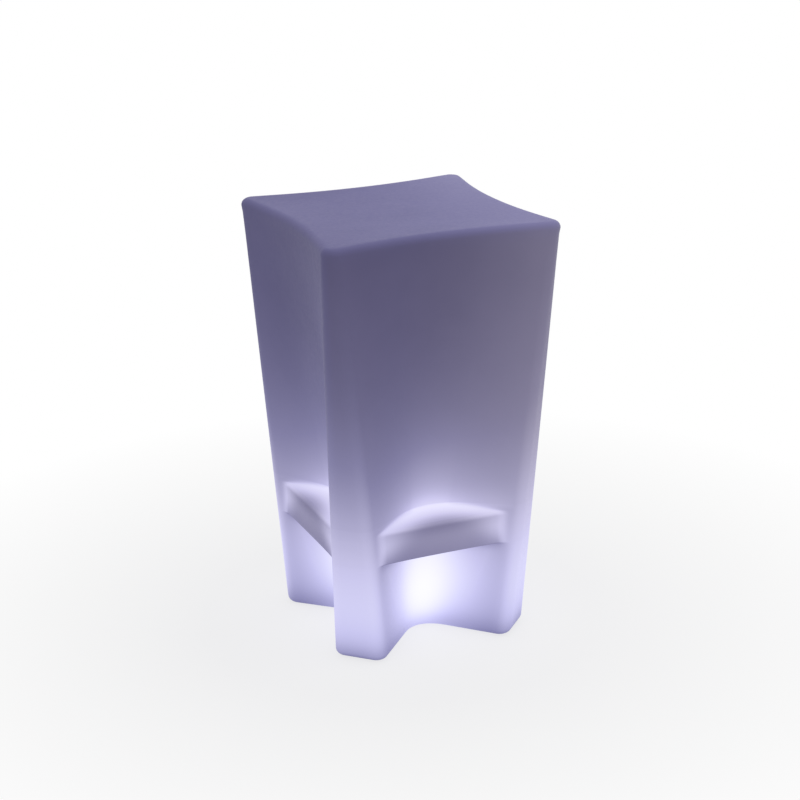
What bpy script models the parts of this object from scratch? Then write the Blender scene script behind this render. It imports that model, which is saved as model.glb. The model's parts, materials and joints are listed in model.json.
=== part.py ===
"""Light-up bar stool: a rotomoulded polyethylene body lit from inside by a rechargeable module.

The body is one hollow shell. Its plan is a square at the seat and an X of four legs at the
floor, because each side folds inwards in a groove that gets deeper on its way down. A foot ledge
bridges the groove between each pair of legs. The lamp module hangs in a recess under the stool:
a cup with a flange, two cells, a control board, a ring of LEDs under an opal dome, a push
button and a charging socket with a hinged rubber cover.

Everything is in metres, +Z up, with the middle of the floor at the origin.
"""
import math

import bmesh
import bpy
import numpy as np

# Body, outer surface
stool_height = 0.740
floor_half_width = 0.184
top_half_width = 0.210
floor_corner_cut = 0.068
top_corner_cut = 0.016
top_groove_depth = 0.035
floor_valley_reach = 0.036
top_valley_reach = 0.140
floor_corner_radius = 0.021
top_corner_radius = 0.024
corner_tangent_share = 0.9
floor_edge_radius = 0.011
seat_edge_radius = 0.012
seat_dish_depth = 0.006
body_wall = 0.005
base_lift = 0.002

# Foot ledge between two legs
lip_height = 0.182
lip_setback = 0.0095
ledge_root_drop = 0.012
band_height = 0.042
band_lean = 0.002
nose_rise = 0.012
nose_run = 0.010
tread_rise = 0.005
tread_run = 0.050
cove_rise = 0.010
cove_run = 0.010
ledge_fade_height = 0.030
ledge_blend = 0.004

# Recess for the lamp module
recess_radius = 0.055
recess_flare = 0.002
recess_depth = 0.025
valley_margin = 0.0214
module_hole_radius = 0.0425

# Clearances
seat_gap = 0.0003
running_gap = 0.0004
cut_overrun = 0.002

# Feet
foot_end_margin = 0.038
pad_radius = 0.014
pad_recess_depth = 0.003
pad_chamfer = 0.001
pad_head_room = 0.003
foot_head_radius = 0.004
foot_head_height = 0.0018
foot_head_clearance = 0.0006

# Machine screws and the brass inserts that take them
bolt_radius = 0.002
bolt_reach = 0.009
insert_radius = 0.003
insert_flange_radius = 0.0044
insert_flange_height = 0.0012
insert_reach = 0.011

# Lamp module cup
flange_radius = 0.052
flange_thickness = 0.0035
cup_radius = 0.041
cup_wall = 0.0025
cup_floor = 0.003
cup_height = 0.0357
module_screw_circle = 0.04725
module_head_radius = 0.0036
module_head_height = 0.0024
gasket_thickness = 0.0015
gasket_inner_radius = 0.0434
gasket_outer_radius = 0.0515

# Posts in the cup and the small screws that go into them
dome_post_x = 0.0205
dome_post_y = 0.0284
dome_post_radius = 0.004
dome_post_height = 0.0356
board_post_x = 0.011
board_post_y = 0.0235
board_post_radius = 0.0025
small_screw_radius = 0.00125
small_head_radius = 0.0024
small_head_height = 0.0016
small_screw_bite = 0.008
screw_recess_share = 0.45
screw_recess_depth_share = 0.6

# Boards
board_thickness = 0.0016
led_board_radius = 0.0378
led_circle_radius = 0.022
led_size = 0.005
led_height = 0.0014
led_count = 8
led_plug_size = (0.008, 0.005, 0.003)
control_board_width = 0.030
control_board_front = -0.033
control_board_back = 0.027
chip_size = (0.009, 0.009, 0.0018)
chip_place = (-0.004, 0.004)
coil_radius = 0.0045
coil_height = 0.0042
coil_place = (0.008, 0.012)
plug_size = (0.006, 0.008, 0.004)
plug_places = ((0.0105, -0.006), (-0.0105, 0.015))
solder_bite = 0.0002

# Dome
dome_radius = 0.0315
dome_rise = 0.024
dome_wall = 0.002
dome_flange_thickness = 0.0022
seal_thickness = 0.001
seal_inner_radius = 0.0389
seal_outer_radius = 0.0407

# Cells
cell_radius = 0.0092
cell_length = 0.065
cell_spacing = 0.019
cell_nub_radius = 0.0028
cell_nub_height = 0.0008
tray_floor = 0.0015
tray_height = 0.0065
tray_length = 0.052
tray_width = 0.041
foam_size = (0.028, 0.024, 0.002)
link_size = (0.0003, 0.025, 0.006)

# Push button and switch
button_y = -0.028
button_radius = 0.0052
button_proud = 0.0012
button_flange_radius = 0.0066
button_flange_height = 0.0012
button_stem_radius = 0.0024
button_edge_radius = 0.0008
button_travel = 0.0015
switch_width = 0.006
switch_height = 0.0035
plunger_radius = 0.00175
plunger_length = 0.002
plunger_room = 0.0009

# Charging socket and its cover
socket_y = 0.028
socket_radius = 0.004
socket_length = 0.0172
bezel_radius = 0.0062
bezel_height = 0.0012
jack_radius = 0.0028
jack_depth = 0.010
pin_radius = 0.001
pin_setback = 0.0028
nut_radius = 0.0065
nut_height = 0.0025
cover_radius = 0.0072
cover_thickness = 0.0016
cover_plug_height = 0.001
strap_width = 0.005
strap_thickness = 0.001
strap_setback = 0.0002
hinge_offset = 0.0008
anchor_width = 0.006
anchor_length = 0.0052
anchor_stud_radius = 0.0018
anchor_stud_height = 0.0022

# Leads
lead_radius = 0.0008
lead_rise_share = 1.5

# Facets
merge_distance = 0.00001
outer_column_shares = (0.5, 0.0)
inner_column_shares = (0.5, 0.0)
plain_column_share = 0.5
least_column_share = 0.3
most_column_share = 0.985
corner_arc_steps = 3
edge_arc_steps = 3
seat_ring_shares = (0.68, 0.30)
leg_row_shares = (0.33, 0.66)
upper_row_shares = (0.12, 0.42, 0.78)
nose_angle_shares = (0.5, 0.9)
tread_share = 0.5
ring_angle_share = 0.5
cup_facets = 28
dome_facets = 20
pad_facets = 16
button_facets = 12
hole_facets = 12
screw_facets = 8
insert_facets = 6
nut_facets = 6
cell_facets = 16
dome_arc_steps = 5
bent_lead_points = 12
straight_lead_points = 3

# Heights that follow from the sizes above
ceiling_z = base_lift + recess_depth
gasket_z = ceiling_z - seat_gap - gasket_thickness
flange_top_z = gasket_z - seat_gap
cup_bottom_z = flange_top_z - flange_thickness
cup_floor_z = cup_bottom_z + cup_floor
cup_rim_z = flange_top_z + cup_height
cup_bore_radius = cup_radius - cup_wall
post_top_z = cup_floor_z + dome_post_height
led_board_z = post_top_z + seat_gap
seal_z = cup_rim_z + seat_gap
dome_z = seal_z + seal_thickness + seat_gap
dome_flange_z = dome_z + dome_flange_thickness
tray_z = cup_floor_z + seat_gap
cell_z = tray_z + tray_floor + seat_gap + cell_radius
foam_z = cell_z + cell_radius + seat_gap
control_board_z = foam_z + foam_size[2] + seat_gap
control_top_z = control_board_z + board_thickness
switch_z = control_board_z - seat_gap - switch_height
button_face_z = cup_bottom_z - button_proud
button_flange_z = cup_floor_z + seat_gap
plunger_z = switch_z + seat_gap - plunger_length
stem_top_z = plunger_z - seat_gap
bezel_z = cup_bottom_z - seat_gap - bezel_height
cover_top_z = bezel_z - seat_gap
cover_z = cover_top_z - cover_thickness
hinge_y = socket_y + cover_radius + hinge_offset
hinge_z = cover_top_z - strap_setback - strap_thickness / 2
anchor_y = hinge_y + strap_thickness / 2 + seat_gap + anchor_length / 2
led_plug_place = plug_places[1]
pad_top_z = base_lift + pad_recess_depth - seat_gap
leg_floor_z = base_lift + body_wall
floor_half_side = floor_half_width - floor_corner_cut
valley_radius = recess_radius + recess_flare + valley_margin
valley_share = 1 - floor_valley_reach / (2 * floor_half_side)
floor_groove_depth = (floor_half_width - valley_radius) / valley_share
leg_end_radius = math.sqrt(2) * (floor_half_width - floor_corner_cut / 2)
foot_circle_radius = leg_end_radius - foot_end_margin

for old_object in list(bpy.data.objects):
    bpy.data.objects.remove(old_object, do_unlink=True)


def new_collection(name):
    """Make a collection under the scene."""
    collection = bpy.data.collections.new(name)
    bpy.context.scene.collection.children.link(collection)
    return collection


parts = new_collection("light_up_stool")
cutters = new_collection("cutters")


def principled(name, colour, roughness, metallic=0.0):
    """Make a material with one Principled shader."""
    material = bpy.data.materials.new(name)
    material.use_nodes = True
    shader = material.node_tree.nodes["Principled BSDF"]
    shader.inputs["Base Color"].default_value = (*colour, 1.0)
    shader.inputs["Roughness"].default_value = roughness
    shader.inputs["Metallic"].default_value = metallic
    material.diffuse_color = (*colour, 1.0)
    return material


frosted_polyethylene = principled("frosted_polyethylene", (0.66, 0.64, 0.82), 0.45)
black_rubber = principled("black_rubber", (0.025, 0.025, 0.028), 0.75)
steel = principled("zinc_plated_steel", (0.62, 0.62, 0.60), 0.35, 1.0)
brass = principled("brass", (0.72, 0.52, 0.22), 0.30, 1.0)
white_housing = principled("white_moulded_housing", (0.80, 0.80, 0.78), 0.42)
opal_lens = principled("opal_lens", (0.90, 0.90, 0.94), 0.25)
grey_silicone = principled("grey_silicone", (0.30, 0.30, 0.32), 0.60)
white_board = principled("white_led_board", (0.85, 0.85, 0.82), 0.40)
green_board = principled("green_control_board", (0.03, 0.20, 0.07), 0.35)
blue_sleeve = principled("blue_cell_sleeve", (0.05, 0.14, 0.42), 0.40)
black_plastic = principled("black_plastic", (0.03, 0.03, 0.03), 0.45)
grey_foam = principled("grey_foam", (0.22, 0.22, 0.22), 0.95)
nickel = principled("nickel_strip", (0.66, 0.64, 0.58), 0.25, 1.0)
red_lead = principled("red_lead_sleeve", (0.55, 0.03, 0.03), 0.45)


def add_object(name, mesh, material=None, place=(0.0, 0.0, 0.0)):
    """Put a mesh in the scene: a part if it has a material, or else a cutter."""
    thing = bpy.data.objects.new(name, mesh)
    thing.location = place
    if material is None:
        cutters.objects.link(thing)
        thing.hide_render = True
        thing.display_type = "WIRE"
    else:
        parts.objects.link(thing)
        mesh.materials.append(material)
    return thing


def turned(name, profile, facets, material=None, place=(0.0, 0.0, 0.0), closed=False):
    """Revolve a profile of (radius, height) pairs, which runs down its outer side, about Z."""
    mesh = bpy.data.meshes.new(name)
    points = [(radius, 0.0, height) for radius, height in profile]
    edges = [(i, i + 1) for i in range(len(points) - 1)]
    if closed:
        edges.append((len(points) - 1, 0))
    mesh.from_pydata(points, edges, [])
    thing = add_object(name, mesh, material, place)
    lathe = thing.modifiers.new("lathe", "SCREW")
    lathe.steps = facets
    lathe.render_steps = facets
    lathe.use_merge_vertices = True
    lathe.merge_threshold = merge_distance
    lathe.use_smooth_shade = False
    return thing


def rods(name, radius, low, high, places, facets, material=None):
    """Upright cylinders between two heights, one at each place, in one mesh."""
    shape = bmesh.new()
    for x, y in places:
        made = bmesh.ops.create_cone(shape, cap_ends=True, segments=facets,
                                     radius1=radius, radius2=radius, depth=high - low)
        bmesh.ops.translate(shape, verts=made["verts"], vec=(x, y, (low + high) / 2))
    mesh = bpy.data.meshes.new(name)
    shape.to_mesh(mesh)
    shape.free()
    return add_object(name, mesh, material)


def blocks(name, size, places, material=None):
    """Boxes of one size, each standing on its place (x, y, lowest z), in one mesh."""
    shape = bmesh.new()
    for x, y, low in places:
        made = bmesh.ops.create_cube(shape, size=1.0)
        bmesh.ops.scale(shape, verts=made["verts"], vec=size)
        bmesh.ops.translate(shape, verts=made["verts"], vec=(x, y, low + size[2] / 2))
    mesh = bpy.data.meshes.new(name)
    shape.to_mesh(mesh)
    shape.free()
    return add_object(name, mesh, material)


def combine(target, tool, operation):
    """Add a Boolean modifier that cuts the tool from the target, or joins it on."""
    step = target.modifiers.new(tool.name, "BOOLEAN")
    step.operation = operation
    step.solver = "EXACT"
    step.object = tool


def cut(target, tool):
    """Cut the tool out of the target."""
    combine(target, tool, "DIFFERENCE")


def join(target, tool):
    """Join the tool on to the target."""
    combine(target, tool, "UNION")


def between(low, high, share):
    """The value at a share of the way from one value to another."""
    return low + (high - low) * share


def smaller(first, second, blend):
    """The smaller of two arrays, with a rounded change from one to the other."""
    return (first + second - np.sqrt((first - second) ** 2 + blend ** 2)) / 2


def groove_depth(x, height):
    """How far a side stands back from the line of its two leg tips, at x along the side.

    The groove is a V whose bottom is a parabola between plus and minus the valley reach.
    """
    share = height / stool_height
    side = half_side(height)
    depth = between(floor_groove_depth, top_groove_depth, share)
    reach = min(between(floor_valley_reach, top_valley_reach, share), side)
    straight = 1 - np.abs(x) / side
    rounded = 1 - reach / (2 * side) - x ** 2 / (2 * side * reach)
    return depth * np.where(np.abs(x) < reach, rounded, straight)


def half_width(height):
    """Middle of the stool to the line of two leg tips."""
    return between(floor_half_width, top_half_width, height / stool_height)


def half_side(height):
    """Half the length of a side between its two leg corners."""
    corner_cut = between(floor_corner_cut, top_corner_cut, height / stool_height)
    return half_width(height) - corner_cut


def fold_x(height, setback, wall_end):
    """Where a column of the loft meets the wall of the groove, for a crisp fold at the ledge.

    It is the x at which the groove is as deep as the setback, within limits that keep the
    columns apart. Away from the ledge it is a plain share of the wall.
    """
    if setback is None:
        return wall_end * plain_column_share
    share = height / stool_height
    side = half_side(height)
    depth = between(floor_groove_depth, top_groove_depth, share)
    reach = min(between(floor_valley_reach, top_valley_reach, share), side)
    fold = side * (1 - setback / depth)
    if fold < reach:
        fold = math.sqrt(2 * side * reach * max(1 - reach / (2 * side) - setback / depth, 0.0))
    return min(max(fold, wall_end * least_column_share), wall_end * most_column_share)


def eighth(height, setback, filled=True):
    """Outline from the middle of a leg's end face to the middle of the front side.

    It gives x along the side and the depth behind the line of the leg tips. A round corner
    turns from the end face, at 45 degrees, to the slope of the groove. A setback fills the
    groove up to that depth, which makes the foot ledge.
    """
    share = height / stool_height
    side = half_side(height)
    corner_cut = half_width(height) - side
    slope = math.atan(between(floor_groove_depth, top_groove_depth, share) / side)
    turn = math.pi / 4 + slope
    radius = between(floor_corner_radius, top_corner_radius, share)
    face_half = corner_cut / math.sqrt(2)
    tangent = min(radius * math.tan(turn / 2), face_half * corner_tangent_share)
    radius = tangent / math.tan(turn / 2)
    start_x = side + tangent * math.cos(math.pi / 4)
    start_depth = tangent * math.sin(math.pi / 4)
    angles = np.linspace(math.pi / 4, math.pi / 4 - turn, corner_arc_steps + 1)
    centre_x = start_x - radius * math.sin(math.pi / 4)
    centre_depth = start_depth + radius * math.cos(math.pi / 4)
    arc_x = centre_x + radius * np.sin(angles)
    arc_depth = centre_depth - radius * np.cos(angles)
    fold = fold_x(height, setback, arc_x[-1])
    outer_x = fold + (arc_x[-1] - fold) * np.array(outer_column_shares)
    wall_x = np.concatenate((outer_x, fold * np.array(inner_column_shares)))
    wall_depth = groove_depth(wall_x, height)
    x = np.concatenate(([side + corner_cut / 2], arc_x, wall_x))
    depth = np.concatenate(([corner_cut / 2], arc_depth, wall_depth))
    if setback is not None and filled:
        fill = np.arange(len(x)) > corner_arc_steps
        depth = np.where(fill, smaller(depth, setback, ledge_blend), depth)
    return x, depth


def outline(height, setback=None, filled=True):
    """Closed outline of the body at a height, anticlockwise from the back right leg."""
    x, depth = eighth(height, setback, filled)
    half = half_width(height)
    right = np.stack((x, half - depth), axis=1)
    left = right[-2:0:-1] * (-1, 1)
    quarter = np.concatenate((right, left))
    turns = []
    for _ in range(4):
        turns.append(quarter)
        quarter = np.stack((-quarter[:, 1], quarter[:, 0]), axis=1)
    return np.concatenate(turns)


def inset(points, distance):
    """Move each point of an anticlockwise outline inwards, square to the outline.

    The direction at a point is the mean of its two sides, where the shorter side counts more.
    """
    onward = np.roll(points, -1, axis=0) - points
    length = np.linalg.norm(onward, axis=1)[:, None]
    along = onward / length ** 2 + np.roll(onward / length ** 2, 1, axis=0)
    along /= np.linalg.norm(along, axis=1)[:, None]
    return points + np.stack((-along[:, 1], along[:, 0]), axis=1) * distance


def ring(radius, angles):
    """Points on a circle at the given angles."""
    return radius * np.stack((np.cos(angles), np.sin(angles)), axis=1)


def level(points, height):
    """Give an outline one height, or each of its points its own."""
    return np.column_stack((points, np.full(len(points), height)))


def recess_rows(angles):
    """Rings of the module recess, from the edge of its hole to its mouth."""
    return [level(ring(module_hole_radius, angles), ceiling_z),
            level(ring(recess_radius, angles), ceiling_z),
            level(ring(recess_radius + recess_flare, angles), base_lift)]


def floor_edge_rows():
    """Rows of the round edge between the underside and the legs."""
    rows = []
    for step in range(edge_arc_steps + 1):
        angle = math.pi / 2 * step / edge_arc_steps
        height = base_lift + floor_edge_radius * (1 - math.cos(angle))
        rows.append(level(inset(outline(height), floor_edge_radius * (1 - math.sin(angle))), height))
    return rows


def leg_rows():
    """Rows of the legs, up to the root of the foot ledge."""
    low = base_lift + floor_edge_radius
    high = lip_height - ledge_root_drop
    rows = [level(outline(height), height)
            for height in (between(low, high, share) for share in leg_row_shares)]
    rows.append(level(outline(high, lip_setback, filled=False), high))
    return rows


def ledge_rows():
    """Rows of the foot ledge: sharp lip, band, rounded nose, sloping tread and cove."""
    height = lip_height
    setback = lip_setback
    steps = [(height, setback)]
    height += band_height / 2
    setback += band_lean / 2
    steps.append((height, setback))
    height += band_height / 2
    setback += band_lean / 2
    steps.append((height, setback))
    for share in nose_angle_shares:
        angle = math.pi / 2 * share
        steps.append((height + nose_rise * math.sin(angle), setback + nose_run * (1 - math.cos(angle))))
    height += nose_rise
    setback += nose_run
    steps.append((height + tread_rise * tread_share, setback + tread_run * tread_share))
    height += tread_rise
    setback += tread_run
    steps.append((height, setback))
    steps.append((height + cove_rise, setback + cove_run))
    return [level(outline(height, setback), height) for height, setback in steps]


ledge_top_z = lip_height + band_height + nose_rise + tread_rise + cove_rise


def upper_rows():
    """Rows from above the ledge to the round edge of the seat."""
    low = ledge_top_z + ledge_fade_height
    high = stool_height - seat_edge_radius
    heights = [between(low, high, share) for share in (0.0, *upper_row_shares)]
    return [level(outline(height), height) for height in heights]


def dish_share(ring_points):
    """How deep the seat is at each point, as a share of its depth in the middle.

    It is the product of the point's distances to the four sides, inside the round seat edge,
    over the same product in the middle. So the dish has no crease towards its corners.
    """
    x, y = ring_points.T
    half = half_width(stool_height) - seat_edge_radius
    middle = half - groove_depth(0.0, stool_height)
    share = 1.0
    for outward, along in ((x, y), (-x, y), (y, x), (-y, x)):
        share = share * (half - outward - groove_depth(along, stool_height)) / middle
    return share


def seat_rows():
    """Rows of the round seat edge, then rings of the dished seat that get rounder inwards."""
    rows = []
    for step in range(edge_arc_steps + 1):
        angle = math.pi / 2 * step / edge_arc_steps
        height = stool_height - seat_edge_radius * (1 - math.sin(angle))
        edge = inset(outline(stool_height), seat_edge_radius * (1 - math.cos(angle)))
        rows.append(level(edge, height))
    angles = math.pi / 4 + np.arange(len(edge)) * 2 * math.pi / len(edge)
    circle = ring(half_width(stool_height), angles)
    for share in seat_ring_shares:
        dished = between(circle, edge, share) * share
        rows.append(level(dished, stool_height - seat_dish_depth * dish_share(dished)))
    return rows


def loft(name, rows, tip, material):
    """Skin a stack of closed rows with four-sided faces and close the last row on a tip."""
    count = len(rows[0])
    points = np.concatenate(rows).tolist() + [tip]
    faces = []
    for row in range(len(rows) - 1):
        for i in range(count):
            j = (i + 1) % count
            low = row * count
            high = low + count
            faces.append((low + i, low + j, high + j, high + i))
    last = (len(rows) - 1) * count
    faces += [(last + i, last + (i + 1) % count, len(points) - 1) for i in range(count)]
    mesh = bpy.data.meshes.new(name)
    mesh.from_pydata(points, [], faces)
    mesh.shade_smooth()
    return add_object(name, mesh, material)


foot_places = [(math.cos(math.radians(45 + 90 * i)) * foot_circle_radius,
                math.sin(math.radians(45 + 90 * i)) * foot_circle_radius) for i in range(4)]
foot_names = ("back_right", "back_left", "front_left", "front_right")
module_screw_places = [(math.cos(math.radians(45 + 90 * i)) * module_screw_circle,
                        math.sin(math.radians(45 + 90 * i)) * module_screw_circle) for i in range(4)]
dome_post_places = [(dome_post_x, dome_post_y), (-dome_post_x, dome_post_y),
                    (-dome_post_x, -dome_post_y), (dome_post_x, -dome_post_y)]
board_post_places = [(board_post_x, board_post_y), (-board_post_x, -board_post_y)]


def build_body():
    """The rotomoulded shell: loft, wall thickness, then recesses and holes for its fittings."""
    base = outline(base_lift)
    polar = np.unwrap(np.arctan2(base[:, 1], base[:, 0]))
    even = polar[0] + np.arange(len(base)) * 2 * math.pi / len(base)
    angles = between(polar, even, ring_angle_share)
    rows = recess_rows(angles) + floor_edge_rows() + leg_rows() + ledge_rows()
    rows += upper_rows() + seat_rows()
    tip = (0.0, 0.0, stool_height - seat_dish_depth)
    body = loft("body_shell", rows, tip, frosted_polyethylene)
    wall = body.modifiers.new("wall", "SOLIDIFY")
    wall.thickness = body_wall
    wall.offset = -1.0
    wall.use_even_offset = True
    wall.use_quality_normals = True
    pad_recess = rods("pad_recess_cutter", pad_radius + seat_gap, base_lift - cut_overrun,
                      base_lift + pad_recess_depth, foot_places, pad_facets)
    foot_hole = rods("foot_hole_cutter", insert_radius + seat_gap, base_lift,
                     leg_floor_z + cut_overrun, foot_places, hole_facets)
    module_hole = rods("module_hole_cutter", insert_radius + seat_gap, ceiling_z - cut_overrun,
                       ceiling_z + body_wall + cut_overrun, module_screw_places, hole_facets)
    for tool in (pad_recess, foot_hole, module_hole):
        cut(body, tool)


def build_foot(place, name):
    """One rubber pad with the screw that holds it and the brass insert in the leg."""
    head_top = pad_head_room - seat_gap
    bore = bolt_radius + seat_gap
    well = foot_head_radius + foot_head_clearance
    here = (*place, 0.0)
    turned("foot_pad_" + name,
           [(bore, pad_top_z), (pad_radius, pad_top_z), (pad_radius, pad_chamfer),
            (pad_radius - pad_chamfer, 0.0), (well, 0.0), (well, pad_head_room), (bore, pad_head_room)],
           pad_facets, black_rubber, here, closed=True)
    screw("foot_screw_" + name, place, head_top, foot_head_radius, foot_head_height, bolt_radius,
          leg_floor_z + bolt_reach - head_top)
    insert("foot_insert_" + name, place, base_lift + pad_recess_depth + seat_gap, leg_floor_z)


def screw(name, place, seat, head_radius, head_height, shank_radius, length):
    """A screw that points up, with a round recess in its head."""
    well = head_radius * screw_recess_share
    well_z = -head_height * (1 - screw_recess_depth_share)
    turned(name,
           [(0.0, length), (shank_radius, length), (shank_radius, 0.0), (head_radius, 0.0),
            (head_radius, -head_height), (well, -head_height), (well, well_z), (0.0, well_z)],
           screw_facets, steel, (*place, seat))


def small_screw(name, place, seat, length):
    """A small screw inside the module, which points down."""
    turned(name,
           [(0.0, small_head_height), (small_head_radius, small_head_height),
            (small_head_radius, 0.0), (small_screw_radius, 0.0), (small_screw_radius, -length),
            (0.0, -length)],
           screw_facets, steel, (*place, seat))


def insert(name, place, low, wall_top):
    """A blind brass insert whose collar sits on the inner face of the wall."""
    collar_low = wall_top + seat_gap
    collar_top = collar_low + insert_flange_height
    top = wall_top + insert_reach
    bore = bolt_radius + seat_gap
    bore_top = wall_top + bolt_reach + seat_gap
    turned(name,
           [(0.0, top), (insert_radius, top), (insert_radius, collar_top),
            (insert_flange_radius, collar_top), (insert_flange_radius, collar_low),
            (insert_radius, collar_low), (insert_radius, low), (bore, low), (bore, bore_top),
            (0.0, bore_top)],
           insert_facets, brass, (*place, 0.0))


def build_housing():
    """The module cup with its flange, posts and holes."""
    housing = turned("module_housing",
                     [(0.0, cup_floor_z), (cup_bore_radius, cup_floor_z), (cup_bore_radius, cup_rim_z),
                      (cup_radius, cup_rim_z), (cup_radius, flange_top_z),
                      (flange_radius, flange_top_z), (flange_radius, cup_bottom_z), (0.0, cup_bottom_z)],
                     cup_facets, white_housing)
    floor_middle = cup_floor_z - cup_floor / 2
    join(housing, rods("dome_posts", dome_post_radius, floor_middle, post_top_z, dome_post_places,
                       hole_facets))
    join(housing, rods("board_posts", board_post_radius, floor_middle, control_board_z - seat_gap,
                       board_post_places, hole_facets))
    below = cup_bottom_z - cut_overrun
    pilot = small_screw_radius + seat_gap
    cut(housing, rods("flange_hole_cutter", bolt_radius + seat_gap, below,
                      flange_top_z + cut_overrun, module_screw_places, screw_facets))
    cut(housing, rods("dome_pilot_cutter", pilot, post_top_z - small_screw_bite,
                      post_top_z + cut_overrun, dome_post_places, screw_facets))
    cut(housing, rods("board_pilot_cutter", pilot, control_board_z - small_screw_bite,
                      control_board_z + cut_overrun, board_post_places, screw_facets))
    cut(housing, rods("button_hole_cutter", button_radius + running_gap, below,
                      cup_floor_z + cut_overrun, [(0.0, button_y)], pad_facets))
    cut(housing, rods("socket_hole_cutter", socket_radius + seat_gap, below,
                      cup_floor_z + cut_overrun, [(0.0, socket_y)], pad_facets))
    cut(housing, rods("anchor_hole_cutter", anchor_stud_radius + seat_gap, below,
                      cup_bottom_z + anchor_stud_height, [(0.0, anchor_y)], screw_facets))


def build_gasket():
    """The flat gasket between the flange and the recess ceiling."""
    top = gasket_z + gasket_thickness
    gasket = turned("module_gasket",
                    [(gasket_inner_radius, top), (gasket_outer_radius, top),
                     (gasket_outer_radius, gasket_z), (gasket_inner_radius, gasket_z)],
                    cup_facets, black_rubber, closed=True)
    cut(gasket, rods("gasket_hole_cutter", bolt_radius + seat_gap, gasket_z - cut_overrun,
                     top + cut_overrun, module_screw_places, screw_facets))


def build_module_fixings():
    """The four screws and inserts that hold the module in its recess."""
    shell_top = ceiling_z + body_wall
    seat = cup_bottom_z - seat_gap
    for number, place in enumerate(module_screw_places, 1):
        screw(f"module_screw_{number}", place, seat, module_head_radius, module_head_height,
              bolt_radius, shell_top + bolt_reach - seat)
        insert(f"module_insert_{number}", place, ceiling_z + seat_gap, shell_top)


def build_dome():
    """The opal dome, its seal ring and the four screws that clamp it with the LED board."""
    arc = [math.pi / 2 * (1 - step / dome_arc_steps) for step in range(dome_arc_steps + 1)]
    outer = [(dome_radius * math.cos(a), dome_flange_z + dome_rise * math.sin(a)) for a in arc]
    bore = dome_radius - dome_wall
    bore_rise = dome_rise + dome_flange_thickness - dome_wall
    inner = [(bore * math.cos(a), dome_z + bore_rise * math.sin(a)) for a in reversed(arc)]
    outer[0] = (0.0, outer[0][1])
    inner[-1] = (0.0, inner[-1][1])
    dome = turned("diffuser_dome", outer + [(cup_radius, dome_flange_z), (cup_radius, dome_z)] + inner,
                  dome_facets, opal_lens)
    cut(dome, rods("dome_hole_cutter", small_screw_radius + seat_gap, dome_z - cut_overrun,
                   dome_flange_z + cut_overrun, dome_post_places, screw_facets))
    seal_top = seal_z + seal_thickness
    turned("dome_seal",
           [(seal_inner_radius, seal_top), (seal_outer_radius, seal_top),
            (seal_outer_radius, seal_z), (seal_inner_radius, seal_z)],
           dome_facets, grey_silicone, closed=True)
    seat = dome_flange_z + seat_gap
    for number, place in enumerate(dome_post_places, 1):
        small_screw(f"dome_screw_{number}", place, seat,
                    seat - post_top_z + small_screw_bite - seat_gap)


def build_led_board():
    """Round aluminium board with a ring of LEDs on top and one plug below."""
    board = rods("led_board", led_board_radius, led_board_z, led_board_z + board_thickness,
                 [(0.0, 0.0)], dome_facets, white_board)
    chip_z = led_board_z + board_thickness - solder_bite
    angles = [2 * math.pi * i / led_count for i in range(led_count)]
    places = [(led_circle_radius * math.cos(a), led_circle_radius * math.sin(a), chip_z) for a in angles]
    join(board, blocks("led_chips", (led_size, led_size, led_height + solder_bite), places))
    plug_z = led_board_z + solder_bite - led_plug_size[2]
    join(board, blocks("led_plug", led_plug_size, [(*led_plug_place, plug_z)]))
    cut(board, rods("led_board_hole_cutter", small_screw_radius + seat_gap, led_board_z - cut_overrun,
                    chip_z + cut_overrun, dome_post_places, screw_facets))


def build_control_board():
    """Control board with its chip, coil and plugs, its two screws, and the push switch below."""
    length = control_board_back - control_board_front
    middle = (control_board_back + control_board_front) / 2
    board = blocks("control_board", (control_board_width, length, board_thickness),
                   [(0.0, middle, control_board_z)], green_board)
    low = control_top_z - solder_bite
    join(board, blocks("control_chip", chip_size, [(*chip_place, low)]))
    join(board, rods("control_coil", coil_radius, low, low + coil_height, [coil_place], hole_facets))
    join(board, blocks("control_plugs", plug_size, [(*place, low) for place in plug_places]))
    cut(board, rods("control_hole_cutter", small_screw_radius + seat_gap,
                    control_board_z - cut_overrun, control_top_z + cut_overrun, board_post_places,
                    screw_facets))
    seat = control_top_z + seat_gap
    for number, place in enumerate(board_post_places, 1):
        small_screw(f"control_screw_{number}", place, seat, board_thickness + small_screw_bite - seat_gap)
    switch = blocks("push_switch", (switch_width, switch_width, switch_height),
                    [(0.0, button_y, switch_z)], black_plastic)
    cut(switch, rods("plunger_hole_cutter", plunger_radius + seat_gap, switch_z - cut_overrun,
                     switch_z + button_travel + plunger_room, [(0.0, button_y)], hole_facets))


def build_button():
    """Push button with its stem, and the switch plunger that it presses."""
    here = (0.0, button_y, button_face_z)
    flange_low = button_flange_z - button_face_z
    flange_top = flange_low + button_flange_height
    stem_top = stem_top_z - button_face_z
    turned("button_cap",
           [(0.0, stem_top), (button_stem_radius, stem_top), (button_stem_radius, flange_top),
            (button_flange_radius, flange_top), (button_flange_radius, flange_low),
            (button_radius, flange_low), (button_radius, button_edge_radius),
            (button_radius - button_edge_radius, 0.0), (0.0, 0.0)],
           button_facets, grey_silicone, here)
    low = plunger_z - button_face_z
    turned("switch_plunger",
           [(0.0, low + plunger_length), (plunger_radius, low + plunger_length),
            (plunger_radius, low), (0.0, low)],
           hole_facets, white_housing, here)


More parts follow.
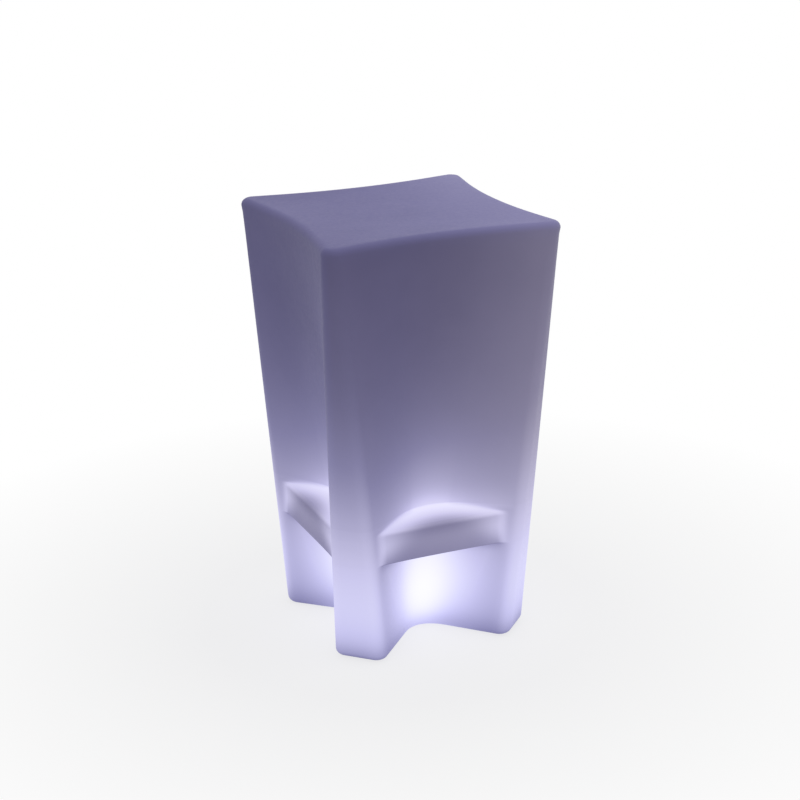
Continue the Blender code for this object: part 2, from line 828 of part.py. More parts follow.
def build_socket():
    """Charging socket, its nut, and the rubber cover with the anchor that it hinges on."""
    top = bezel_z + bezel_height + socket_length
    turned("charge_socket",
           [(0.0, top), (socket_radius, top), (socket_radius, bezel_z + bezel_height),
            (bezel_radius, bezel_z + bezel_height), (bezel_radius, bezel_z), (jack_radius, bezel_z),
            (jack_radius, bezel_z + jack_depth), (pin_radius, bezel_z + jack_depth),
            (pin_radius, bezel_z + pin_setback), (0.0, bezel_z + pin_setback)],
           hole_facets, black_plastic, (0.0, socket_y, 0.0))
    nut_z = cup_floor_z + seat_gap
    nut = rods("socket_nut", nut_radius, nut_z, nut_z + nut_height, [(0.0, socket_y)], nut_facets,
               steel)
    cut(nut, rods("nut_bore_cutter", socket_radius + seat_gap, nut_z - cut_overrun,
                  nut_z + nut_height + cut_overrun, [(0.0, socket_y)], hole_facets))
    plug_radius = jack_radius - running_gap
    back = socket_y - hinge_y
    low = cover_z - hinge_z
    face = cover_top_z - hinge_z
    cover = rods("charge_cover", cover_radius, low, face, [(0.0, back)], pad_facets, grey_silicone)
    cover.location = (0.0, hinge_y, hinge_z)
    plug = rods("cover_plug", plug_radius, face - cover_thickness / 2, face + cover_plug_height,
                [(0.0, back)], hole_facets)
    strap_length = hinge_offset + cover_thickness
    strap = blocks("cover_strap", (strap_width, strap_length, strap_thickness),
                   [(0.0, -strap_length / 2, -strap_thickness / 2)])
    for tool in (plug, strap):
        tool.location = cover.location
        join(cover, tool)
    anchor_top = cup_bottom_z - seat_gap
    anchor_low = hinge_z - strap_thickness / 2
    anchor = blocks("cover_anchor", (anchor_width, anchor_length, anchor_top - anchor_low),
                    [(0.0, anchor_y, anchor_low)], grey_silicone)
    join(anchor, rods("anchor_stud", anchor_stud_radius, anchor_low + seat_gap,
                      anchor_top + anchor_stud_height, [(0.0, anchor_y)], screw_facets))


def build_cells():
    """Two cells in their tray, the strip that links them and the foam that holds them down."""
    half = cell_length / 2
    for number, y in enumerate((-cell_spacing / 2, cell_spacing / 2), 1):
        cell = turned(f"battery_cell_{number}",
                      [(0.0, half + cell_nub_height), (cell_nub_radius, half + cell_nub_height),
                       (cell_nub_radius, half), (cell_radius, half), (cell_radius, -half), (0.0, -half)],
                      cell_facets, blue_sleeve, (0.0, y, cell_z))
        cell.rotation_euler = (0.0, math.pi / 2, 0.0)
    tray = blocks("battery_tray", (tray_length, tray_width, tray_height), [(0.0, 0.0, tray_z)],
                  black_plastic)
    for number, y in enumerate((-cell_spacing / 2, cell_spacing / 2), 1):
        trough = rods(f"trough_cutter_{number}", cell_radius + seat_gap, -tray_length, tray_length,
                      [(0.0, 0.0)], cell_facets)
        trough.location = (0.0, y, cell_z)
        trough.rotation_euler = (0.0, math.pi / 2, 0.0)
        cut(tray, trough)
    blocks("battery_foam", foam_size, [(0.0, 0.0, foam_z)], grey_foam)
    blocks("cell_link", link_size,
           [(-half - seat_gap - link_size[0] / 2, 0.0, cell_z - link_size[2] / 2)], nickel)


def smooth_route(points, count):
    """Points evenly along a smooth curve through a few chosen points."""
    chosen = np.array(points)
    padded = np.concatenate((2 * chosen[:1] - chosen[1:2], chosen, 2 * chosen[-1:] - chosen[-2:-1]))
    route = []
    for t in np.linspace(0, len(chosen) - 1, count):
        i = min(int(t), len(chosen) - 2)
        u = t - i
        a, b, c, d = padded[i:i + 4]
        route.append((2 * b + (c - a) * u + (2 * a - 5 * b + 4 * c - d) * u ** 2
                      + (3 * b - a - 3 * c + d) * u ** 3) / 2)
    return route


def lead(name, points, count):
    """One sleeved lead as a round tube along its route."""
    curve = bpy.data.curves.new(name, "CURVE")
    curve.dimensions = "3D"
    curve.bevel_depth = lead_radius
    curve.bevel_resolution = 1
    curve.use_fill_caps = True
    spline = curve.splines.new("POLY")
    route = smooth_route(points, count)
    spline.points.add(len(route) - 1)
    for point, place in zip(spline.points, route):
        point.co = (*place, 1.0)
    thing = bpy.data.objects.new(name, curve)
    parts.objects.link(thing)
    curve.materials.append(red_lead)
    return thing


def build_leads():
    """The three leads: cells to board, board to LEDs, and socket to board."""
    start = cell_length / 2 + cell_nub_height + seat_gap
    plug_side = plug_places[0][0] + plug_size[0] / 2 + seat_gap
    plug_z = control_top_z + plug_size[2] / 2
    reach = plug_size[0] / 2
    out = start + 2 * lead_radius
    lead("battery_lead",
         [(start, -cell_spacing / 2, cell_z), (out, -cell_spacing / 2, cell_z + lead_radius),
          (out, -cell_spacing / 2, cell_z + cell_radius), (out - reach, plug_places[0][1], plug_z),
          (plug_side + reach, plug_places[0][1], plug_z), (plug_side, plug_places[0][1], plug_z)],
         bent_lead_points)
    top = control_top_z - solder_bite + plug_size[2] + seat_gap
    lead("led_lead",
         [(*plug_places[1], top), (*led_plug_place, led_board_z + solder_bite - led_plug_size[2] - seat_gap)],
         straight_lead_points)
    socket_top = bezel_z + bezel_height + socket_length + seat_gap
    bend = (control_board_z - socket_top) / 2
    lead("charge_lead",
         [(0.0, socket_y, socket_top), (0.0, socket_y, socket_top + bend / 2),
          (0.0, socket_y - bend / 2, socket_top + bend),
          (0.0, control_board_back - bend, socket_top + bend * lead_rise_share),
          (0.0, control_board_back - bend, control_board_z - seat_gap)],
         bent_lead_points)


build_body()
for foot_place, foot_name in zip(foot_places, foot_names):
    build_foot(foot_place, foot_name)
build_housing()
build_gasket()
build_module_fixings()
build_dome()
build_led_board()
build_control_board()
build_button()
build_socket()
build_cells()
build_leads()
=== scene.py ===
# %% [markdown]
# # A bar stool that glows
#
# The stool is one hollow shell of frosted polyethylene, moulded in one piece. A lamp module in a
# recess underneath lights it from inside. The lesson builds the finished shell around the packed
# CAD model, works out how the lamp's light comes through the wall, and then finishes the small
# parts that show from below. All sizes are in metres, with +Z up and the middle of the floor at
# the origin.

# %% Load the fixed frame
import json
import math

import bmesh
import bpy
import numpy as np
from mathutils import Matrix


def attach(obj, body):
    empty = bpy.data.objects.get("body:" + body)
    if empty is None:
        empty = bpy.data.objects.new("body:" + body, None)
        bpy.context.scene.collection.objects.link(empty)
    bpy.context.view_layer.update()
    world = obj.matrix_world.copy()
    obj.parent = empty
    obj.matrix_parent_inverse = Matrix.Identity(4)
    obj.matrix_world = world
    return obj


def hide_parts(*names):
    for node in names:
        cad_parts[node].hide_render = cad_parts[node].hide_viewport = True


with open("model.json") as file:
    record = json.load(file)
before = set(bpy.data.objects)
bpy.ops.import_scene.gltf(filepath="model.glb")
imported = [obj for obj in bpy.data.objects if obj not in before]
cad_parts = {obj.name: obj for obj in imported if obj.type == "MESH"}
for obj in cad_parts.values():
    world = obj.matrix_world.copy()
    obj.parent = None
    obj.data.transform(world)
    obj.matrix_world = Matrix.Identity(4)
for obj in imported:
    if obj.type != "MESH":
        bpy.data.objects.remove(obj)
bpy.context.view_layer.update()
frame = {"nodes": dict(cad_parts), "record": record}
nodes = frame["nodes"]

# %% [markdown]
# ## The camera
#
# The photograph looks at the stool from a little to the left and from above, through a short
# telephoto lens. The angles come from fitting the stool's outline to the photograph. A camera
# could be aimed by a Track To constraint, but a matrix built from three directions also carries
# the slight lean of the picture, so that is what is used.

# %% Place the camera
stool_height = 0.740
camera_turn = math.radians(23.1075)
camera_rise = math.radians(19.7389)
camera_distance = 3.2947
aim_turn = math.radians(0.0142)
aim_rise = math.radians(-0.5023)
camera_lean = math.radians(-1.0082)
lens_length = 85.31
sensor_width = 36.0


def direction(turn, rise):
    """Unit vector that looks along +Y, turned to the right and tipped down by two angles."""
    level = math.cos(rise)
    return np.array([math.sin(turn) * level, math.cos(turn) * level, -math.sin(rise)])


def camera_matrix():
    """World matrix of the camera: its right, up and backward directions, then its place."""
    middle = np.array([0.0, 0.0, stool_height / 2])
    place = middle - camera_distance * direction(camera_turn, camera_rise)
    ahead = direction(camera_turn + aim_turn, camera_rise + aim_rise)
    level = np.cross(ahead, (0.0, 0.0, 1.0))
    level /= np.linalg.norm(level)
    above = np.cross(level, ahead)
    right = math.cos(camera_lean) * level + math.sin(camera_lean) * above
    up = math.cos(camera_lean) * above - math.sin(camera_lean) * level
    matrix = np.identity(4)
    matrix[:3, :] = np.column_stack((right, up, -ahead, place))
    return Matrix(matrix.tolist())


camera_data = bpy.data.cameras.new("camera")
camera_data.lens = lens_length
camera_data.sensor_width = sensor_width
camera = bpy.data.objects.new("camera", camera_data)
camera.matrix_world = camera_matrix()
bpy.context.scene.collection.objects.link(camera)
bpy.context.scene.camera = camera
bpy.context.scene.view_settings.view_transform = "Standard"
print("camera at", [round(value, 3) for value in camera.location])

# %% [markdown]
# ## Helpers for surfaces
#
# Every new piece is a grid of points: rows along a profile, columns around it. One helper turns
# such a grid into a closed mesh, with a fan of triangles wherever a row shrinks to a single pole.
# Blender's own primitives and the Screw modifier could do some of this, but one helper for all
# pieces keeps every face pointing outwards.

# %% Turn a grid of points into a mesh
def grid_faces(rows, columns):
    """Four-sided faces between neighbouring rows, wrapping round the columns."""
    row, column = np.meshgrid(np.arange(rows - 1), np.arange(columns), indexing="ij")
    onward = (column + 1) % columns
    low = row * columns
    high = low + columns
    return np.stack((low + column, low + onward, high + onward, high + column), axis=-1).reshape(-1, 4)


def fan_faces(start, columns, pole, reverse):
    """Triangles from one row of points to a pole."""
    column = np.arange(columns)
    onward = (column + 1) % columns
    if reverse:
        column, onward = onward, column
    return np.stack((start + column, start + onward, np.full(columns, pole)), axis=-1)


def surface_mesh(name, points, first_pole=None, last_pole=None, closed=False):
    """Mesh of a grid of points (rows, columns, 3), with a pole before and after it, or closed."""
    rows, columns = points.shape[:2]
    places = points.reshape(-1, 3)
    faces = (grid_faces(rows + closed, columns) % len(places)).tolist()
    for pole, start, reverse in ((first_pole, 0, True), (last_pole, (rows - 1) * columns, False)):
        if pole is not None:
            faces += fan_faces(start, columns, len(places), reverse).tolist()
            places = np.concatenate((places, [pole]))
    mesh = bpy.data.meshes.new(name)
    mesh.from_pydata(places.tolist(), [], faces)
    mesh.shade_smooth()
    return mesh


def finish_piece(mesh, body, replaced, material):
    """Put a finished mesh in the scene: its body, its nodes and its material."""
    piece = bpy.data.objects.new(mesh.name, mesh)
    bpy.context.scene.collection.objects.link(piece)
    mesh.materials.append(material)
    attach(piece, body)
    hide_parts(*replaced)
    return piece


print("a grid of 3 rows and 8 columns has", len(grid_faces(3, 8)), "faces")

# %% [markdown]
# ## The shell's outline at each height
#
# In plan the stool is a square at the seat and an X of four legs at the floor, because each side
# folds inwards in a groove that gets deeper on its way down. Only an eighth of the outline has to
# be worked out, from the middle of a leg's end face to the middle of the front side: mirroring
# and quarter turns make the rest. The bottom of the groove is rounded, over a width that grows
# slowly near the floor and faster near the seat. A subdivided box could be pushed into this shape
# by hand, but a formula keeps all eight parts alike and gives the lamp's light, later, something
# exact to meet.

# %% Sizes of the shell
floor_half_width = 0.184
top_half_width = 0.210
floor_corner_cut = 0.068
top_corner_cut = 0.016
floor_groove_depth = 0.125
top_groove_depth = 0.035
floor_valley_reach = 0.036
top_valley_reach = 0.140
valley_power = 1.4
floor_corner_radius = 0.021
top_corner_radius = 0.024
corner_tangent_share = 0.9
floor_edge_radius = 0.011
seat_edge_radius = 0.012
seat_dish_depth = 0.006
body_wall = 0.005
base_lift = 0.002
print("half width", floor_half_width, "at the floor,", top_half_width, "at the seat, wall", body_wall)

# %% Side and groove at each height
def between(low, high, share):
    """The value at a share of the way from one value to another."""
    return low + (high - low) * share


def half_width(height):
    """Middle of the stool to the line of two leg tips."""
    return between(floor_half_width, top_half_width, height / stool_height)


def half_side(height):
    """Half the length of a side between its two leg corners."""
    return half_width(height) - between(floor_corner_cut, top_corner_cut, height / stool_height)


def full_depth(height):
    """Depth of the groove where its two straight walls would meet."""
    return between(floor_groove_depth, top_groove_depth, height / stool_height)


def valley_reach(height):
    """Distance from the middle of a side to where the rounded valley meets the straight wall.

    It is a + (b - a) (z / H)^p, for the reaches a at the floor and b at the seat and a power p.
    """
    widening = (height / stool_height) ** valley_power
    return np.minimum(between(floor_valley_reach, top_valley_reach, widening), half_side(height))


def groove_depth(x, height):
    """Depth of the groove at x along a side: a V with a parabola for its bottom.

    Outside the valley's reach r the depth is d (1 - x / h), for half a side h and a full depth d.
    Inside it the depth is d (1 - r / 2h - x x / 2hr), which meets the V with the same slope.
    """
    side = half_side(height)
    reach = valley_reach(height)
    straight = 1 - x / side
    rounded = 1 - reach / (2 * side) - x ** 2 / (2 * side * reach)
    return full_depth(height) * np.where(x < reach, rounded, straight)


print("half a side:", round(half_side(0.0), 3), "at the floor,",
      round(half_side(stool_height), 3), "at the seat")
print("groove in mid side:", round(float(groove_depth(0.0, 0.0)), 3), "at the floor,",
      round(float(groove_depth(0.0, stool_height)), 3), "at the seat")

# %% [markdown]
# ## The foot ledge
#
# Between each pair of legs a ledge bridges the groove, for the sitter's feet. Its lower edge is a
# sharp lip, then come an upright band, a rounded nose and a tread that runs back into the wall.
# The ledge could be a separate block joined on by a Boolean, but the moulding is one skin, so the
# groove is simply filled up to a setback that changes with height. Filling with a softened
# minimum leaves the small fillet that the mould leaves.

# %% Heights and setbacks of the ledge
lip_height = 0.180
lip_setback = 0.0155
ledge_root_drop = 0.005
lip_radius = 0.0022
lip_under_share = 0.08
band_height = 0.049
band_lean = 0.002
nose_rise = 0.009
nose_run = 0.009
tread_rise = 0.006
tread_run = 0.030
tread_reach = 0.060
band_blend = 0.004
cove_blend = 0.014
cove_power = 4
band_rows = 8
nose_rows = 8
tread_rows = 14
# Deeper than any groove, this setback stands for no ledge.
no_setback = 1.0


def softer_minimum(first, second, blend):
    """The smaller of two arrays a and b, with a fillet of width k where they cross.

    It is (a + b - sqrt((a - b)^2 + k^2)) / 2.
    """
    return (first + second - np.sqrt((first - second) ** 2 + blend ** 2)) / 2


def ledge_profile():
    """Height, setback and fillet of each row of the ledge, from its lip to the back of its tread.

    The band is a straight line, the nose a quarter of an ellipse and the tread a straight line
    that runs on behind the bottom of the groove, where the fill has nothing left to fill.
    """
    up = np.linspace(lip_radius / band_height, 1, band_rows)
    band = np.stack((lip_height + band_height * up, lip_setback + band_lean * up), axis=1)
    angle = np.linspace(0, math.pi / 2, nose_rows + 1)[1:]
    nose = band[-1] + np.stack((nose_rise * np.sin(angle), nose_run * (1 - np.cos(angle))), axis=1)
    back = np.linspace(0, 1, tread_rows + 1)[1:] * tread_reach / tread_run
    tread = nose[-1] + np.stack((tread_rise * back, tread_run * back), axis=1)
    rows = np.concatenate((band, nose, tread))
    blend = between(band_blend, cove_blend, np.clip((rows[:, 1] - nose[-1, 1]) / tread_run, 0, 1))
    return rows[:, :1], rows[:, 1:], blend[:, None]


ledge_heights, ledge_setbacks, ledge_blends = ledge_profile()
ledge_top = ledge_heights[-1, 0]
print("ledge from", lip_height, "to", round(ledge_top, 4), "in", len(ledge_heights), "rows")

# %% [markdown]
# ## An eighth of the outline, and all of it
#
# The columns of the grid have to follow the fold where the ledge meets the wall of the groove,
# or its edge would come out as a staircase. So each row spreads its columns between three
# places: the end of the corner's arc, the fold and the middle of the side. Even columns with a
# dense mesh would also hide the staircase, at many times the number of faces.

# %% Place of the fold in each row
plain_fold_share = 0.5
least_fold_share = 0.3
most_fold_share = 0.985


def fold_place(height, setback, wall_end):
    """The x at which the groove is as deep as the setback, as a limited share of the wall.

    On the straight wall it is h (1 - s / d). In the valley it is the root of the parabola.
    """
    side = half_side(height)
    reach = valley_reach(height)
    left = 1 - setback / full_depth(height)
    wall = side * left
    room = np.maximum(left - reach / (2 * side), 0)
    fold = np.where(wall < reach, np.sqrt(2 * side * reach * room), wall)
    return np.clip(fold / wall_end, least_fold_share, most_fold_share)


def fold_shares(height):
    """Fold of every row: it follows the ledge there, and drifts back to a plain share elsewhere."""
    known = fold_place(ledge_heights, ledge_setbacks, half_side(ledge_heights))[:, 0]
    heights = np.concatenate(([0.0], ledge_heights[:, 0], [stool_height]))
    shares = np.concatenate(([plain_fold_share], known, [plain_fold_share]))
    return np.interp(height[:, 0], heights, shares)[:, None]


print("the fold lies at", round(float(fold_shares(np.array([[lip_height]]))[0, 0]), 2),
      "of the wall at the lip")

# %% One eighth of the outline
end_face_columns = 3
corner_columns = 10
outer_columns = 8
inner_columns = 10
corner_shares = np.linspace(0, 1, corner_columns)
end_face_shares = np.linspace(0, 1, end_face_columns + 1)[:-1]
outer_shares = np.linspace(1, 0, outer_columns + 1)[1:]
inner_shares = np.linspace(1, 0, inner_columns + 1)[1:]


def eighth(height, setback=None, blend=None):
    """Rows of x along a side and depth behind its leg tips, from a leg's end face to mid side.

    A corner arc of radius r turns from the end face, at 45 degrees, to the slope of the groove,
    and touches both at r tan(half the turn) from where they would meet. A setback fills the
    groove up to it, and the fillet fades out where the groove is shallower than the setback.
    """
    side = half_side(height)
    corner_cut = half_width(height) - side
    turn = math.pi / 4 + np.arctan(full_depth(height) / side)
    radius = between(floor_corner_radius, top_corner_radius, height / stool_height)
    tangent = np.minimum(radius * np.tan(turn / 2), corner_cut / math.sqrt(2) * corner_tangent_share)
    radius = tangent / np.tan(turn / 2)
    start_x = side + tangent * math.cos(math.pi / 4)
    start_depth = tangent * math.sin(math.pi / 4)
    angle = math.pi / 4 - turn * corner_shares
    arc_x = start_x + radius * (np.sin(angle) - math.sin(math.pi / 4))
    arc_depth = start_depth + radius * (math.cos(math.pi / 4) - np.cos(angle))
    end_x = between(side + corner_cut / 2, start_x, end_face_shares)
    end_depth = between(corner_cut / 2, start_depth, end_face_shares)
    wall_end = arc_x[:, -1:]
    fold = wall_end * fold_shares(height)
    wall_x = np.hstack((fold + (wall_end - fold) * outer_shares, fold * inner_shares))
    wall_depth = groove_depth(wall_x, height)
    if setback is not None:
        near_fold = np.minimum(wall_depth / setback, 1) ** cove_power
        wall_depth = softer_minimum(wall_depth, setback, blend * near_fold)
    return np.hstack((end_x, arc_x, wall_x)), np.hstack((end_depth, arc_depth, wall_depth))


eighth_columns = eighth(np.array([[base_lift]]))[0].shape[1]
print("columns of an eighth:", eighth_columns)

# %% The whole outline, its insets and its heights
def unfold(first, second):
    """Mirror an eighth at the middle of its side, then turn that quarter three times."""
    x = np.hstack((first, -first[:, -2:0:-1]))
    y = np.hstack((second, second[:, -2:0:-1]))
    return np.stack((np.hstack((x, -y, -x, y)), np.hstack((y, x, -y, -x))), axis=-1)


def outline(height, setback=None, blend=None):
    """Closed outlines (rows, columns, 2), anticlockwise from the back right leg."""
    x, depth = eighth(height, setback, blend)
    return unfold(x, half_width(height) - depth)


def inset(points, distance):
    """Move closed outlines inwards, square to themselves, by a distance for each row.

    The direction at a point is the mean of its two sides, where the shorter side counts more.
    """
    onward = np.roll(points, -1, axis=1) - points
    pull = onward / np.sum(onward ** 2, axis=2, keepdims=True)
    along = pull + np.roll(pull, 1, axis=1)
    along /= np.linalg.norm(along, axis=2, keepdims=True)
    return points + np.stack((-along[..., 1], along[..., 0]), axis=-1) * distance[..., None]


def lift(points, height):
    """Give outlines their heights, one for each row."""
    level = np.broadcast_to(height[..., None], points.shape[:2] + (1,))
    return np.concatenate((points, level), axis=-1)


floor_outline = outline(np.array([[base_lift]]))[0]
column_count = len(floor_outline)
print("columns round the stool:", column_count)

# %% [markdown]
# ## The whole skin, from the module's hole to the middle of the seat
#
# The rows run outwards under the stool, up the legs, over the ledges and in across the dished
# seat. Round edges are insets of the same outline by a quarter circle, so they keep one radius
# all the way round. The skin then gets its 5 mm wall from Solidify, as a moulding has one even
# wall, and the hole in the recess keeps its rim.

# %% Rows underneath
recess_radius = 0.055
recess_flare = 0.002
recess_depth = 0.025
recess_fillet = 0.003
module_hole_radius = 0.0425
fillet_rows = 5
ceiling_rows = 3
underside_rows = 7
edge_rows = 8


def quarter_circle(count):
    """A quarter circle as shares across, 1 - sin a, and up, 1 - cos a, for a from 0 to 90 degrees."""
    angle = np.linspace(0, math.pi / 2, count)[:, None]
    return 1 - np.sin(angle), 1 - np.cos(angle)


def recess_rows(angles):
    """Rings of the recess: its ceiling, a fillet, the flared wall and its rounded mouth."""
    top = base_lift + recess_depth
    across, up = quarter_circle(fillet_rows)
    flat = np.linspace(module_hole_radius, recess_radius - recess_fillet, ceiling_rows)[:, None]
    radius = np.vstack((flat, recess_radius - recess_fillet * across[1:],
                        recess_radius + recess_flare + recess_fillet * up))
    height = np.vstack((np.full_like(flat, top), top - recess_fillet * up[1:],
                        base_lift + recess_fillet * across))
    circle = np.stack((np.cos(angles), np.sin(angles)), axis=-1)
    return lift(radius[..., None] * circle, height)


def underside_and_edge_rows(mouth):
    """Flat underside from the recess to the floor edge, then the round edge."""
    across, up = quarter_circle(edge_rows)
    height = base_lift + floor_edge_radius * up
    edge = lift(inset(outline(height), floor_edge_radius * across), height)
    share = np.linspace(0, 1, underside_rows)[1:-1, None, None]
    return np.concatenate((between(mouth[-1:], edge[:1], share), edge))


print("recess:", round(2000 * recess_radius), "mm wide,", round(1000 * recess_depth), "mm deep")

# %% Rows of the legs and ledges
leg_rows = 28
ledge_under_rows = 4
lip_rows = 5


def leg_and_ledge_rows():
    """Legs up to the root of the ledge, its underside, its lip as a small arc, then the ledge.

    The lip l is rounded between the points a below and b above it: a (1-t)^2 + 2 l t (1-t) + b t^2.
    """
    root = lip_height - ledge_root_drop
    height = np.linspace(base_lift + floor_edge_radius, root, leg_rows + 1)[1:, None]
    legs = lift(outline(height), height)
    lip_level = np.array([[lip_height]])
    lip = lift(outline(lip_level, np.array([[lip_setback]]), np.array([[band_blend]])), lip_level)
    ledge = lift(outline(ledge_heights, ledge_setbacks, ledge_blends), ledge_heights)
    inner = between(lip, legs[-1:], lip_under_share)
    share = np.linspace(0, 1, ledge_under_rows)[1:-1, None, None]
    under = between(legs[-1:], inner, share)
    t = np.linspace(0, 1, lip_rows)[:-1, None, None]
    arc = (1 - t) ** 2 * inner + 2 * t * (1 - t) * lip + t ** 2 * ledge[:1]
    return np.concatenate((legs, under, arc, ledge))


print("rows of the legs and ledges:", len(leg_and_ledge_rows()))

# %% Rows of the upper body and the seat
upper_rows = 46
seat_rows = 20


def dish_share(points):
    """Depth of the seat at each point, as a share of its depth in the middle.

    It is the product of the distances to the four sides, inside the round seat edge, over the
    same product in the middle, so the dish has no crease towards its corners.
    """
    x, y = points[..., 0], points[..., 1]
    half = top_half_width - seat_edge_radius
    middle = half - groove_depth(0.0, stool_height)
    share = 1.0
    for outward, along in ((x, y), (-x, y), (y, x), (-y, x)):
        share = share * (half - outward - groove_depth(np.abs(along), stool_height)) / middle
    return share


def upper_and_seat_rows():
    """Upper body, the round seat edge, then rings of the dish that get rounder inwards."""
    height = np.linspace(ledge_top, stool_height - seat_edge_radius, upper_rows + 1)[1:-1, None]
    upper = lift(outline(height), height)
    across, up = quarter_circle(edge_rows)
    height = stool_height - seat_edge_radius * across
    rim = outline(np.full_like(height, stool_height))
    edge = lift(inset(rim, seat_edge_radius * up), height)
    share = np.linspace(1, 0, seat_rows + 1)[1:-1, None, None]
    angles = math.pi / 4 + np.arange(column_count) * 2 * math.pi / column_count
    circle = np.stack((np.cos(angles), np.sin(angles)), axis=-1) * top_half_width
    rings = between(circle, edge[-1:, :, :2], share) * share
    dish = stool_height - seat_dish_depth * dish_share(rings)
    return np.concatenate((upper, edge, np.concatenate((rings, dish[..., None]), axis=-1)))


print("rows of the upper body and the seat:", len(upper_and_seat_rows()))

# %% All rows of the skin
ring_angle_share = 0.5


def shell_skin():
    """All rows of the skin, as one grid of points.

    A column meets the round recess half way between its angle in plan and an even spread.
    """
    polar = np.unwrap(np.arctan2(floor_outline[:, 1], floor_outline[:, 0]))
    even = polar[0] + np.arange(column_count) * 2 * math.pi / column_count
    recess = recess_rows(between(polar, even, ring_angle_share))
    return np.concatenate((recess, underside_and_edge_rows(recess), leg_and_ledge_rows(),
                           upper_and_seat_rows()))


skin = shell_skin()
print("skin:", skin.shape[0], "rows, half width", round(np.abs(skin[..., :2]).max(), 4),
      "height", round(skin[..., 2].min(), 4), "to", round(skin[..., 2].max(), 4))

# %% [markdown]
# ## How the lamp's light gets through the wall
#
# The lamp is a ring of LEDs under an opal dome, low in the middle of the shell. A real render of
# light inside a translucent wall takes thousands of samples, and the exported model would lose it.
# So the light is worked out once for every point of the skin and kept as an attribute. Each point
# adds up what it receives from many spots on the dome, and a straight line between the two only
# counts where it stays inside the shell. That is why the ledge's band stays dark, the tread above
# it is bright, and the wall next to the dome is white.

# %% Spots of light on the dome
dome_base_height = 0.064
dome_radius = 0.0315
dome_rise = 0.024
dome_side_share = 0.5
dome_tilts = np.radians([8.0, 30.0, 50.0, 70.0, 88.0])
dome_spots = (1, 5, 8, 10, 12)


def dome_samples():
    """Spots on the dome, their outward directions and their shares of the light.

    A ring of spots tilted by b from the top shares sin b (1 - s (1 - cos b)), because the dome is
    weaker by a share s at its side.
    """
    places, facings, shares = [], [], []
    for number, (tilt, count) in enumerate(zip(dome_tilts, dome_spots)):
        turn = 2 * math.pi * (np.arange(count) + number / 2) / count
        facing = np.stack((np.sin(tilt) * np.cos(turn), np.sin(tilt) * np.sin(turn),
                           np.full(count, np.cos(tilt))), axis=1)
        places.append(facing * (dome_radius, dome_radius, dome_rise) + (0.0, 0.0, dome_base_height))
        facings.append(facing)
        shares.append(np.full(count, np.sin(tilt) / count * (1 - dome_side_share * (1 - np.cos(tilt)))))
    shares = np.concatenate(shares)
    return np.concatenate(places), np.concatenate(facings), shares / shares.sum()


print("spots on the dome:", len(dome_samples()[2]))

# %% Light on the inside of the wall
sight_steps = 20
sight_softness = 0.006
sight_lift = 0.1
wall_inside = 0.0055


def room_inside(points):
    """How far points are inside the skin: the distance left to the groove and to the end face."""
    outward = np.maximum(np.abs(points[..., 0]), np.abs(points[..., 1]))
    along = np.minimum(np.abs(points[..., 0]), np.abs(points[..., 1]))
    height = np.clip(points[..., 2], 0, stool_height)
    levels = np.concatenate(([lip_height - ledge_root_drop, lip_height], ledge_heights[:, 0]))
    setbacks = np.concatenate(([no_setback, lip_setback], ledge_setbacks[:, 0]))
    setback = np.interp(height, levels, setbacks, left=no_setback, right=no_setback)
    to_groove = half_width(height) - np.minimum(groove_depth(along, height), setback) - outward
    to_end = (half_width(height) + half_side(height) - outward - along) / math.sqrt(2)
    return np.minimum(to_groove, to_end)


def direct_light(points, normals):
    """Light straight from the dome, at points with their normals.

    It is the sum over the spots of share * cos(at wall) * cos(at dome) / distance squared * clear
    sight, where clear sight falls from 1 to 0 as the line between the two leaves the shell.
    """
    inside = points - wall_inside * normals
    total = np.zeros(len(points))
    for place, facing, share in zip(*dome_samples()):
        way = place - inside
        distance = np.linalg.norm(way, axis=1)
        way /= distance[:, None]
        at_wall = np.clip(-np.sum(way * normals, axis=1), 0, 1)
        at_dome = np.clip(-way @ facing, 0, 1)
        steps = (np.arange(sight_steps) + 0.5) / sight_steps
        line = between(inside[:, None], place, steps[None, :, None])
        clear = np.clip(room_inside(line).min(axis=1) / sight_softness + sight_lift, 0, 1)
        total += share * at_wall * at_dome / distance ** 2 * clear
    return total


def skin_normals(points):
    """Outward normals of the skin: across the columns crossed with along the rows."""
    across = np.roll(points, -1, axis=1) - np.roll(points, 1, axis=1)
    normals = np.cross(across, np.gradient(points, axis=0))
    return normals / np.linalg.norm(normals, axis=2, keepdims=True)


normals = skin_normals(skin)
eighth_skin = skin[:, :eighth_columns]
direct = direct_light(eighth_skin.reshape(-1, 3), normals[:, :eighth_columns].reshape(-1, 3))
direct = direct.reshape(-1, eighth_columns)
print("direct light: highest", round(direct.max(), 1), "median", round(float(np.median(direct)), 2))

# %% [markdown]
# ## From light to brightness
#
# Light that has bounced many times inside fills the shell softly and fades with height. The sum
# of direct and bounced light is then pressed into the range from 0 to 1, as an eye or a film
# does: weak light rises slowly and strong light levels off at white. The 5 mm wall also spreads
# the light sideways a little, which a few rounds of averaging between neighbours stand for.

# %% Where a point lies on the skin
fold_softness = 0.0095


def groove_and_fill(points):
    """Depth of the groove at each point, and how far the ledge stands out in front of it."""
    outward = np.maximum(points[..., 0], points[..., 1])
    along = np.minimum(points[..., 0], points[..., 1])
    height = points[..., 2]
    groove = groove_depth(along, height)
    return groove, np.maximum(groove - (half_width(height) - outward), 0)


def in_groove(points):
    """1 inside the grooves and 0 at the ends of the legs, with a short ramp between."""
    return np.clip(groove_and_fill(points)[0] / fold_softness - 1, 0, 1)


def on_seat(points):
    """0 on the sides and 1 on the seat, with a ramp over the round seat edge."""
    over_edge = points[..., 2] - stool_height + seat_edge_radius
    return np.clip(over_edge / (seat_edge_radius - seat_dish_depth), 0, 1)


